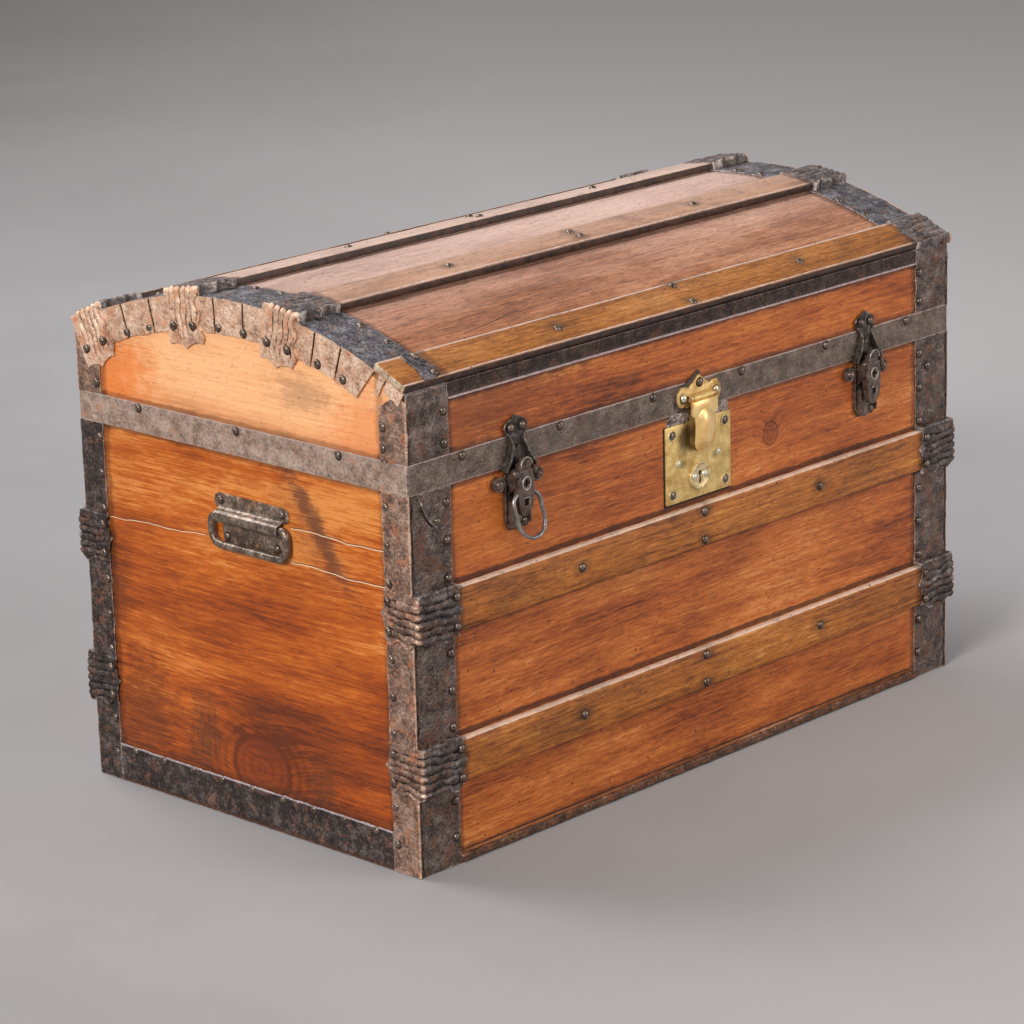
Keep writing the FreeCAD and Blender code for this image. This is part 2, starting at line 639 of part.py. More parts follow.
ringed_lever = lever.cut(ring_bore)


def latch_catch():
    """A bell-shaped catch on the lid: flat lobes above, side walls below."""
    wide = ear_in + ear + catch_clear + ear
    back = -band_face
    outer = [(0, 0), (0.43, 0.09), (0.76, 0.2), (0.67, 0.31), (0.38, 0.44), (0.43, 0.58), (0.67, 0.76),
             (1, 0.95), (1, 1)]
    outline = [(wide * x, catch_top - catch_height * drop) for x, drop in outer]
    outline += [(-x, z) for x, z in reversed(outline[1:])]
    inner = [(0.3, 0.47), (0.36, 0.58), (0.6, 0.76), (1, 0.94), (1, 1.02)]
    inside = [((wide - catch_sheet) * x, catch_top - catch_height * drop) for x, drop in inner]
    inside += [(-x, z) for x, z in reversed(inside)]
    body = front_plate(outline, back - catch_skirt, back)
    body = body.cut(front_plate(inside, back - catch_skirt, back - catch_sheet))
    skirt_face = back - catch_skirt
    slope = side_plate([(skirt_face, catch_top), (skirt_face, catch_top - catch_height * 0.65),
                        (back - catch_sheet, catch_top - catch_height * 0.36),
                        (back - catch_sheet, catch_top)], -wide, wide)
    hole_z = catch_top - catch_height * 0.6
    return body.cut([slope, rod(catch_hole, V(0, skirt_face, hole_z), V(0, back, hole_z))])


catch = latch_catch()
latch_x = half_length - latch_inset
places = {"left": V(-latch_x, 0, 0), "right": V(latch_x, 0, 0)}
for side_name, place in places.items():
    keep(side_name + "_latch_base", latch_base.translated(place))
keep("latch_pins", *[latch_pin.translated(place) for place in places.values()])
keep("left_latch_lever", ringed_lever.translated(places["left"]))
keep("right_latch_lever", lever.translated(places["right"]))
keep("latch_catches", *[catch.translated(place) for place in places.values()])


def loop(radius, width, top, bottom, upper_bend, lower_bend):
    """A round-wire rectangle with rounded corners, its middle line in the plane y = 0."""
    half = width / 2 - radius
    low = bottom + radius
    lean = math.sqrt(0.5)
    corners = []
    for x, z, bend in ((half, top, upper_bend), (half, low, lower_bend),
                       (-half, low, lower_bend), (-half, top, upper_bend)):
        corners.append((x, z, bend, 1 if x > 0 else -1, 1 if z > low else -1))
    edges = []
    spots = []
    for x, z, bend, out, up in corners:
        side_end = V(x, 0, z - up * bend)
        flat_end = V(x - out * bend, 0, z)
        middle = V(x - out * bend * (1 - lean), 0, z - up * bend * (1 - lean))
        spots.append((side_end, flat_end))
        edges.append(Part.Arc(side_end, middle, flat_end).toShape())
    edges.append(Part.LineSegment(spots[0][0], spots[1][0]).toShape())
    edges.append(Part.LineSegment(spots[1][1], spots[2][1]).toShape())
    edges.append(Part.LineSegment(spots[2][0], spots[3][0]).toShape())
    edges.append(Part.LineSegment(spots[3][1], spots[0][1]).toShape())
    path = Part.Wire(Part.__sortEdges__(edges))
    start = spots[1][1]
    section = Part.Wire(Part.makeCircle(radius, V(0, 0, start.z), V(1, 0, 0)))
    return path.makePipeShell([section], True, True)


ring = loop(ring_wire, ring_width, ring_height, ring_height - ring_length, ring_shoulder,
            ring_width / 2 - ring_wire - ring_flat)
keep("left_latch_ring", ring.translated(places["left"] + V(0, ring_y, 0)))

# End handles: a plate with a rolled hood, and a bail that turns in the hood
bail_x = -board_x - handle_sheet - bail_fit - bail_rod
handle_top = base_height - handle_drop
handle_bottom = handle_top - handle_height
hood_height = handle_top - hood_drop
hood_inner = bail_rod + bail_fit
hood_outer = hood_inner + hood_wall
plate_face_x = -board_x - handle_sheet
handle_plate = box(plate_face_x, -board_x, handle_centre - handle_width / 2,
                   handle_centre + handle_width / 2, handle_bottom, handle_top)
handle_plate = handle_plate.makeFillet(handle_corner, [e for e in handle_plate.Edges
                                                       if abs(e.Length - handle_sheet) < 0.01])
hood_from = V(bail_x, handle_centre - hood_width / 2, hood_height)
hood_to = V(bail_x, handle_centre + hood_width / 2, hood_height)
hood = rod(hood_outer, hood_from, hood_to)
hood = hood.fuse(box(bail_x, -board_x, hood_from.y, hood_to.y, hood_height, hood_height + hood_outer))
hood = hood.common(box(bail_x - hood_outer, -board_x, hood_from.y, hood_to.y,
                       hood_height - hood_outer, hood_height + hood_outer))
handle_plate = handle_plate.fuse(hood).removeSplitter().cut(rod(hood_inner, hood_from, hood_to))
bail = loop(bail_rod, bail_width, hood_height, hood_height - bail_length, bail_shoulder, bail_bend)
bail.rotate(V(0, 0, 0), V(0, 0, 1), 90)
bail = bail.translated(V(bail_x, handle_centre, 0))
keep("left_handle_plate", handle_plate)
keep("right_handle_plate", flip_x(handle_plate))
keep("left_handle_bail", bail)
keep("right_handle_bail", flip_x(bail))
handle_nails = []
for y, z in ((handle_width / 2 - 9, handle_top - 7), (9 - handle_width / 2, handle_top - 7),
             (handle_width / 2 - 17, handle_bottom + 12), (17 - handle_width / 2, handle_bottom + 12)):
    driven = nail(V(plate_face_x, handle_centre + y, z), V(-1, 0, 0))
    handle_nails += [driven, flip_x(driven)]
keep("handle_nails", *handle_nails)

# Back hinges: one leaf on the base, one on the lid's band, and a pin
hinge_y = half_depth + hinge_radius + hinge_stand
hinge_third = hinge_width / 3
hinge_reach = hinge_radius + hinge_leaf_gap
hinge_bore = rod(hinge_pin_radius + pin_fit, V(-half_length, hinge_y, base_height),
                 V(half_length, hinge_y, base_height))


def hinge_knuckle(x0, x1, leaf_back, up):
    web = box(x0, x1, leaf_back, hinge_y, min(base_height, base_height + up * hinge_reach),
              max(base_height, base_height + up * hinge_reach))
    return rod(hinge_radius, V(x0, hinge_y, base_height), V(x1, hinge_y, base_height)).fuse(web)


base_leaf = box(-hinge_width / 2, hinge_width / 2, board_y, board_y + hinge_leaf,
                base_height - hinge_leaf_height, base_height - hinge_reach)
base_leaf = base_leaf.fuse([
    hinge_knuckle(-hinge_width / 2, -hinge_third / 2 - knuckle_gap, board_y, -1),
    hinge_knuckle(hinge_third / 2 + knuckle_gap, hinge_width / 2, board_y, -1)])
base_leaf = base_leaf.removeSplitter().cut(hinge_bore)
lid_leaf = box(-hinge_width / 2, hinge_width / 2, band_face, band_face + hinge_leaf,
               base_height + hinge_reach, base_height + hinge_leaf_height)
lid_leaf = lid_leaf.fuse(hinge_knuckle(-hinge_third / 2, hinge_third / 2, band_face, 1))
lid_leaf = lid_leaf.removeSplitter().cut(hinge_bore)
hinge_pin = rod(hinge_pin_radius, V(-hinge_width / 2, hinge_y, base_height),
                V(hinge_width / 2, hinge_y, base_height))
hinge_x = half_length - hinge_inset
hinge_places = [V(-hinge_x, 0, 0), V(hinge_x, 0, 0)]
keep("hinge_base_leaves", *[base_leaf.translated(place) for place in hinge_places])
keep("hinge_lid_leaves", *[lid_leaf.translated(place) for place in hinge_places])
keep("hinge_pins", *[hinge_pin.translated(place) for place in hinge_places])

# Nails. Each list is made for the front or the left and mirrored to the far side.
base_nails = []
lid_nails = []
front = V(0, -1, 0)
left = V(-1, 0, 0)
clamp_low = slat_width / 2 + clamp + nail_head


def clear_of_clamps(z):
    return all(abs(z - level) > clamp_low for level in slat_levels)


corner_x = front_flange - half_length - edge_nail_inset
corner_y = end_flange - half_depth - edge_nail_inset
corner_nails = []
for z in evenly(edge_nail_start, base_height - edge_nail_start / 2, edge_nail_pitch):
    if clear_of_clamps(z):
        corner_nails.append(nail(V(corner_x, -half_depth, z), front))
        corner_nails.append(nail(V(-half_length, corner_y, z), left))
for level in slat_levels:
    for z in (level - slat_nail_spread, level + slat_nail_spread):
        corner_nails.append(nail(V(corner_x, -slat_face - clamp, z), front,
                                 length=nail_length + slat))
        corner_nails.append(nail(V(-half_length - clamp, corner_y, z), left))
base_nails += [to_corner(one, side, face) for one in corner_nails for side in (-1, 1) for face in (-1, 1)]

sill_end = half_depth - end_flange - end_nail_pitch / 2
for y in evenly(-sill_end, sill_end, end_nail_pitch):
    driven = nail(V(-half_length, y, sill_height - sill_nail_inset), left)
    base_nails += [driven, flip_x(driven)]


def slat_nail_spots(width_spread):
    """Single nails out along a slat and a pair at its middle, as (along, across)."""
    out = half_length - slat_nail_inset
    return [(-out, 0), (0, -width_spread), (0, width_spread), (out, 0)]


for level in slat_levels:
    for x, z in slat_nail_spots(slat_nail_spread):
        driven = nail(V(x, -slat_face, level + z), front, length=nail_length + slat)
        base_nails += [driven, flip_y(driven)]
for leaf_x in (hinge_width / 2 - 8, 8 - hinge_width / 2):
    for place in hinge_places:
        base_nails.append(nail(V(leaf_x, board_y + hinge_leaf, base_height - hinge_leaf_height * 0.7)
                               + place, V(0, 1, 0)))
        lid_nails.append(nail(V(leaf_x, band_face + hinge_leaf, base_height + hinge_leaf_height * 0.45)
                              + place, V(0, 1, 0)))
for place in places.values():
    for x in (latch_nail_inset - half_base, half_base - latch_nail_inset):
        base_nails.append(nail(V(x, base_face, latch_base_bottom + latch_nail_rise) + place, front, 2.0, 1.4))
    for x in (-catch_nail_spread, catch_nail_spread):
        lid_nails.append(nail(V(x, -band_face - catch_sheet, catch_top - catch_nail_drop) + place,
                              front, 3.0, 2.6))
keep("base_nails", *base_nails)

for x, rise in ((-0.74, 0.35), (0, 0.75), (0.74, 0.35)):
    lid_nails.append(nail(V(half_crown * x, crown_face, crown_bottom + crown_height * rise), front, 4.0, 2.6))
band_end = half_length - edge_nail_pitch * 2
for x in evenly(-band_end, band_end, band_nail_pitch):
    driven = nail(V(x, -band_face, band_top - band_nail_drop), front)
    lid_nails += [driven, flip_y(driven)]
for y in (-band_nail_pitch, 0, band_nail_pitch):
    driven = nail(V(-board_x - band, y, band_top - band_nail_drop), left)
    lid_nails += [driven, flip_x(driven)]
lid_corner_nails = []
for z in (band_top + edge_nail_pitch / 3, band_top + edge_nail_pitch * 1.2):
    lid_corner_nails.append(nail(V(corner_x, -half_depth, z), front))
    if z < shoulder_height - dome_end_flange:
        lid_corner_nails.append(nail(V(-half_length, corner_y, z), left))
lid_nails += [to_corner(one, side, face) for one in lid_corner_nails for side in (-1, 1) for face in (-1, 1)]


def crown_nail(x, reach, outward):
    """A nail made at the dome's crown, to be rolled round to its place."""
    return nail(V(x, 0, dome_z + reach), outward)


arc_reach = dome_radius - dome_end_flange + edge_nail_inset
clamp_half = dome_slat_width / 2
clamp_centres = (-shoulder_slat_offset, -dome_slat_offset, dome_slat_offset, shoulder_slat_offset)
for y in evenly(-half_depth + end_flange, half_depth - end_flange, edge_nail_pitch * 0.95):
    on_clamp = any(abs(y - centre) < clamp_half + nail_head for centre in clamp_centres)
    end_nail = rolled(crown_nail(-half_length, arc_reach, left), y)
    top_nail = rolled(crown_nail(dome_top_flange - half_length - edge_nail_inset, dome_radius, V(0, 0, 1)), y)
    if not on_clamp:
        lid_nails += [end_nail, flip_x(end_nail), top_nail, flip_x(top_nail)]
for centre in clamp_centres:
    for across in (-clamp_half + 7, clamp_half - 7):
        foot_nail = nail(V(-half_length - clamp, across, dome_z + arc_reach), left)
        foot_nail = rolled(foot_nail, centre)
        lid_nails.append(flip_x(foot_nail))
        if centre != -shoulder_slat_offset:
            lid_nails.append(foot_nail)
for centre in clamp_centres:
    spread = slat_nail_spread if abs(centre) > dome_slat_offset else slat_nail_spread / 2
    for x, across in slat_nail_spots(spread):
        driven = nail(V(x, across, dome_z + dome_radius + slat), V(0, 0, 1), length=nail_length + slat)
        lid_nails.append(rolled(driven, centre))
for across in (-clamp_half + 7, clamp_half - 8):
    driven = nail(V(tab_left + tab_width / 2, across, dome_z + dome_radius + slat + tab), V(0, 0, 1),
                  head=4.2, rise=2.6, length=nail_length + slat)
    lid_nails.append(rolled(driven, -shoulder_slat_offset))
keep("lid_nails", *lid_nails)

os.makedirs("parts", exist_ok=True)
for name, shape in parts.items():
    shape.exportStep("parts/" + name + ".step")
print(len(parts), "nodes,", len(base_nails) + len(lid_nails), "nails")
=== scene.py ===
import bpy
import math
from mathutils import Matrix, Vector, noise


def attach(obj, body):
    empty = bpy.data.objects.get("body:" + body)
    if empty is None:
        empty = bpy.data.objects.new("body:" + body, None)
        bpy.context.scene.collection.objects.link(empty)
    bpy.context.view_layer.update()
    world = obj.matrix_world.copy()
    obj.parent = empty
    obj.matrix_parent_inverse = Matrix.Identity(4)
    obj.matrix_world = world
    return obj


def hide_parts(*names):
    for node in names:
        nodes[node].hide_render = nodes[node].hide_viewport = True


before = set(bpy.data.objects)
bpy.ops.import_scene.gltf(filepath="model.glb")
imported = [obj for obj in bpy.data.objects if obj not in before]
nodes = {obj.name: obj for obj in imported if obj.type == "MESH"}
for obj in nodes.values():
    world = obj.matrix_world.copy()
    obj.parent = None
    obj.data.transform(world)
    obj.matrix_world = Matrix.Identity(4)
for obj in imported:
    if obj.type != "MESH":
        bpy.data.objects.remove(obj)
scene = bpy.context.scene
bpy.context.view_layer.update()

trunk = {                       # metres; the same sizes as the case itself
    "halfLength": 0.4165,
    "halfDepth": 0.2365,
    "baseHeight": 0.385,
    "bandTop": 0.4154,
    "domeRadius": 0.51913,
    "domeZ": 0.02187,
    "iron": 0.0012,
    "slat": 0.008,
    "slatLevels": (0.1087, 0.2627),
    "domeSlats": (-0.21525, -0.071, 0.071, 0.21525),    # the dome slats' places in y
    "walls": (0.4058, 0.2258),  # inner faces in x and y
    "floor": 0.0113,
    "domeInside": 0.5145,
    "flange": 0.3605,           # inner edge of the corner irons on the front
}
halfLength, halfDepth = trunk["halfLength"], trunk["halfDepth"]
domeR, domeZ = trunk["domeRadius"], trunk["domeZ"]
boardX, boardY = halfLength - trunk["iron"], halfDepth - trunk["iron"]


# Workbench: picking, placing and finishing meshes

def objectMode():
    if bpy.context.mode != "OBJECT":
        bpy.ops.object.mode_set(mode="OBJECT")


def hold(piece):                # the one selected and active object
    objectMode()
    bpy.ops.object.select_all(action="DESELECT")
    bpy.context.view_layer.objects.active = piece
    piece.select_set(True)
    return piece


def added(name):                # names the primitive that was just added
    piece = bpy.context.object
    piece.name = name
    piece.data.name = name
    return piece


def settle(piece):              # place, turn and size go into the mesh
    hold(piece)
    bpy.ops.object.transform_apply(location=True, rotation=True, scale=True)
    return piece


def pick(piece, kind, test):    # into edit mode with what passes the test selected
    hold(piece)
    bpy.ops.object.mode_set(mode="EDIT")
    bpy.ops.mesh.select_mode(type=kind)
    bpy.ops.mesh.select_all(action="DESELECT")
    bpy.ops.object.mode_set(mode="OBJECT")
    mesh = piece.data
    if kind == "VERT":
        for vert in mesh.vertices:
            vert.select = test(vert.co)
    elif kind == "EDGE":
        for edge in mesh.edges:
            edge.select = test(*(mesh.vertices[i].co for i in edge.vertices))
    else:
        for face in mesh.polygons:
            face.select = test(face.center, face.normal)
    bpy.ops.object.mode_set(mode="EDIT")


def anywhere(*where):
    return True


def worked(piece, kind, test, work, **settings):    # one mesh tool used on what passes the test
    pick(piece, kind, test)
    work(**settings)
    objectMode()
    return piece


def trimmed(piece, at, normal):     # cut off at a plane and closed
    return worked(piece, "FACE", anywhere, bpy.ops.mesh.bisect, plane_co=at, plane_no=normal, use_fill=True,
                  clear_outer=True)


def outward(piece):
    return worked(piece, "FACE", anywhere, bpy.ops.mesh.normals_make_consistent, inside=False)


def change(piece, kind, **settings):    # adds a modifier and applies it
    hold(piece)
    modifier = piece.modifiers.new(kind.lower(), kind)
    for key, value in settings.items():
        setattr(modifier, key, value)
    bpy.ops.object.modifier_apply(modifier=modifier.name)
    return piece


def smooth(piece, degrees=35):
    hold(piece)
    bpy.ops.object.shade_smooth_by_angle(angle=math.radians(degrees))
    return piece


def joined(name, *pieces):
    hold(pieces[0])
    for piece in pieces:
        piece.select_set(True)
    if len(pieces) > 1:
        bpy.ops.object.join()
    return added(name)


def twin(piece, name, matrix=None):     # a copy with its own mesh, carried by a matrix
    copy = piece.copy()
    copy.data = piece.data.copy()
    scene.collection.objects.link(copy)
    copy.name = copy.data.name = name
    if matrix is not None:
        copy.data.transform(matrix)
        if matrix.determinant() < 0:
            worked(copy, "FACE", anywhere, bpy.ops.mesh.flip_normals)
    return copy


def discard(*pieces):
    for piece in pieces:
        bpy.data.objects.remove(piece)


def onSide(piece, side, name):      # the left piece, or its mirror image on the right
    if side == "right":
        piece, left = twin(piece, name, mirrorX), piece
        discard(left)
    piece.name = name
    return piece


def soften(piece, width, segments=2, angle=40):
    return change(piece, "BEVEL", width=width, segments=segments, limit_method="ANGLE",
                  angle_limit=math.radians(angle), harden_normals=False)


def thicken(piece, thick, offset=-1):
    return change(piece, "SOLIDIFY", thickness=thick, offset=offset)


def block(name, low, high, edge=0.0):
    bpy.ops.mesh.primitive_cube_add(size=1, location=[(a + b) / 2 for a, b in zip(low, high)])
    piece = added(name)
    piece.scale = [b - a for a, b in zip(low, high)]
    settle(piece)
    return soften(piece, edge) if edge else piece


def sheet(name, corner, along, up, cells):      # a flat grid that faces along x up
    along, up = Vector(along), Vector(up)
    bpy.ops.mesh.primitive_grid_add(x_subdivisions=cells[0], y_subdivisions=cells[1], size=1)
    piece = added(name)
    turn = Matrix((along, up, along.cross(up).normalized())).transposed().to_4x4()
    piece.data.transform(Matrix.Translation(Vector(corner) + (along + up) / 2) @ turn)
    return piece


def displaced(piece, weight, **settings):       # moves each point by its own share
    if weight:
        group = piece.vertex_groups.new(name="share")
        for vert in piece.data.vertices:
            share = weight(vert.co)
            if share > 0:
                group.add([vert.index], min(1.0, share), "REPLACE")
        settings["vertex_group"] = "share"
    change(piece, "DISPLACE", **settings)
    piece.vertex_groups.clear()
    return piece


def push(piece, amount, weight):
    return displaced(piece, weight, strength=amount, mid_level=0.0)


dents = {"hammered": 0.022, "pitted": 0.0055, "ragged": 0.009, "wavy": 0.06}   # sizes of the soft random lumps
for kind, size in dents.items():
    dents[kind] = bpy.data.textures.new("lump", "CLOUDS")
    dents[kind].noise_scale = size
    dents[kind].noise_depth = 2


def dent(piece, kind, amount, direction="NORMAL", weight=None, middle=0.5):
    return displaced(piece, weight, texture=dents[kind], strength=amount, mid_level=middle, direction=direction,
                     texture_coords="LOCAL")


def moved(piece, where):        # each point goes where the rule sends it
    for vert in piece.data.vertices:
        vert.co = where(vert.co.copy())
    return piece


def curl(piece):                # a piece laid flat at the crown follows the dome's curve
    def where(co):
        angle, reach = co.y / domeR, co.z - domeZ
        return Vector((co.x, reach * math.sin(angle), domeZ + reach * math.cos(angle)))
    return moved(piece, where)


def rolled(y):                  # the turn that carries a thing from the crown to y
    middle = Matrix.Translation((0, 0, domeZ))
    return middle @ Matrix.Rotation(-math.asin(y / domeR), 4, "X") @ middle.inverted()


def onLine(steps, at):          # the height over a place, on a line of points
    for (start, low), (end, high) in zip(steps, steps[1:]):
        if at <= end + 1e-6:
            return low + (high - low) * (at - start) / (end - start)
    return steps[-1][1]


def along(path, share):         # the point at a share, 0 to 1, of a path with even steps
    last = len(path) - 1
    spot = min(max(share, 0.0) * last, last - 1e-6)
    i = int(spot)
    return [a + (b - a) * (spot - i) for a, b in zip(path[i], path[i + 1])]


mirrorX = Matrix.Diagonal((-1, 1, 1, 1))
mirrorY = Matrix.Diagonal((1, -1, 1, 1))
still = Matrix.Identity(4)


def islands(node):              # the separate solids of a CAD node
    mesh = nodes[node].data
    root = list(range(len(mesh.vertices)))
    spots = {}
    for i, vert in enumerate(mesh.vertices):
        key = tuple(round(c * 1e6) for c in vert.co)
        root[i] = spots.setdefault(key, i)

    def top(i):
        while root[i] != i:
            root[i] = root[root[i]]
            i = root[i]
        return i
    for edge in mesh.edges:
        a, b = (top(i) for i in edge.vertices)
        root[max(a, b)] = min(a, b)
    groups = {}
    for i, vert in enumerate(mesh.vertices):
        groups.setdefault(top(i), []).append(vert.co)
    return list(groups.values())


def boxOf(points):
    return [[least(p[i] for p in points) for i in range(3)] for least in (min, max)]


def spots(node, first, second, test):       # where a node's separate solids stand, in two of the axes
    middles = [[(a + b) / 2 for a, b in zip(*boxOf(points))] for points in islands(node)]
    return [(at[first], at[second]) for at in middles if test(*at)]


# Shader bench: sockets that take arithmetic

class Wire:
    def __init__(self, finish, socket):
        self.finish = finish
        self.socket = socket

    def math(self, operation, *values):
        return self.finish.add("ShaderNodeMath", {"operation": operation}, dict(enumerate(values)))

    def __rsub__(self, other):
        return self.math("SUBTRACT", other, self)

    def size(self):
        return self.math("ABSOLUTE", self)

    def sine(self):
        return self.math("SINE", self)

    def clipped(self):
        return self.finish.add("ShaderNodeClamp", {}, {"Value": self})

    def fade(self, start, end):         # 0 at start, 1 at end
        settings = {"interpolation_type": "SMOOTHSTEP"}
        return self.finish.add("ShaderNodeMapRange", settings,
                               {"Value": self, "From Min": start, "From Max": end})


for words, operation in (("add radd", "ADD"), ("mul rmul", "MULTIPLY"), ("sub", "SUBTRACT"), ("truediv", "DIVIDE"),
                         ("pow", "POWER")):
    for word in words.split():
        setattr(Wire, "__%s__" % word, lambda self, other, operation=operation: self.math(operation, self, other))


def rgb(red, green, blue):      # a colour as it is seen, 0 to 255
    return tuple((c / 255 / 12.92 if c <= 10 else ((c / 255 + 0.055) / 1.055) ** 2.4)
                 for c in (red, green, blue)) + (1.0,)


def palette(names, colours):
    return dict(zip(names.split(), (rgb(*colour) for colour in colours)))


class Finish:
    def __init__(self, name):
        self.material = bpy.data.materials.new(name)
        self.material.use_nodes = True
        self.tree = self.material.node_tree
        self.tree.nodes.clear()
        self.place = self.add("ShaderNodeTexCoord", out="Object")

    def add(self, kind, settings=None, inputs=None, out=0):
        node = self.tree.nodes.new(kind)
        for key, value in (settings or {}).items():
            if key == "stops":
                stops = node.color_ramp.elements
                while len(stops) < len(value):
                    stops.new(0.5)
                for stop, (position, colour) in zip(stops, value):
                    stop.position = position
                    stop.color = colour
            else:
                setattr(node, key, value)
        for key, value in (inputs or {}).items():
            if isinstance(value, Wire):
                self.tree.links.new(value.socket, node.inputs[key])
            else:
                node.inputs[key].default_value = value
        return Wire(self, node.outputs[out]) if node.outputs else None

    def axes(self):
        return [self.add("ShaderNodeSeparateXYZ", {}, {0: self.place}, out=i) for i in range(3)]

    def vector(self, x, y, z):
        return self.add("ShaderNodeCombineXYZ", {}, {0: x, 1: y, 2: z})

    def noise(self, at, scale, detail=2, rough=0.5, distort=0.0):
        return self.add("ShaderNodeTexNoise", {}, {"Vector": at, "Scale": scale, "Detail": detail,
                                                   "Roughness": rough, "Distortion": distort})

    def cells(self, at, scale):
        return self.add("ShaderNodeTexVoronoi", {}, {"Vector": at, "Scale": scale})

    def blend(self, share, first, second):
        return self.add("ShaderNodeMix", {"data_type": "RGBA"}, {0: share, 6: first, 7: second}, out=2)

    def ramp(self, value, stops):
        return self.add("ShaderNodeValToRGB", {"stops": stops}, {0: value})

    def raised(self):           # ridges and worn edges of a dense mesh
        return self.add("ShaderNodeNewGeometry", out="Pointiness")

    def surface(self, height, depth, strength=1.0, **sockets):
        bump = self.add("ShaderNodeBump", {}, {"Height": height, "Distance": depth, "Strength": strength})
        inputs = {key.replace("_", " "): value for key, value in sockets.items()}
        inputs["Normal"] = bump
        shader = self.add("ShaderNodeBsdfPrincipled", {}, inputs)
        self.add("ShaderNodeOutputMaterial", {}, {"Surface": shader})
        return self.material


# Finishes

finishes = {}                   # by name, for the pieces that wear them


def oval(a, c, size):           # 1 on an ellipse's line
    return ((a / size[0]) ** 2.0 + (c / size[1]) ** 2.0) ** 0.5


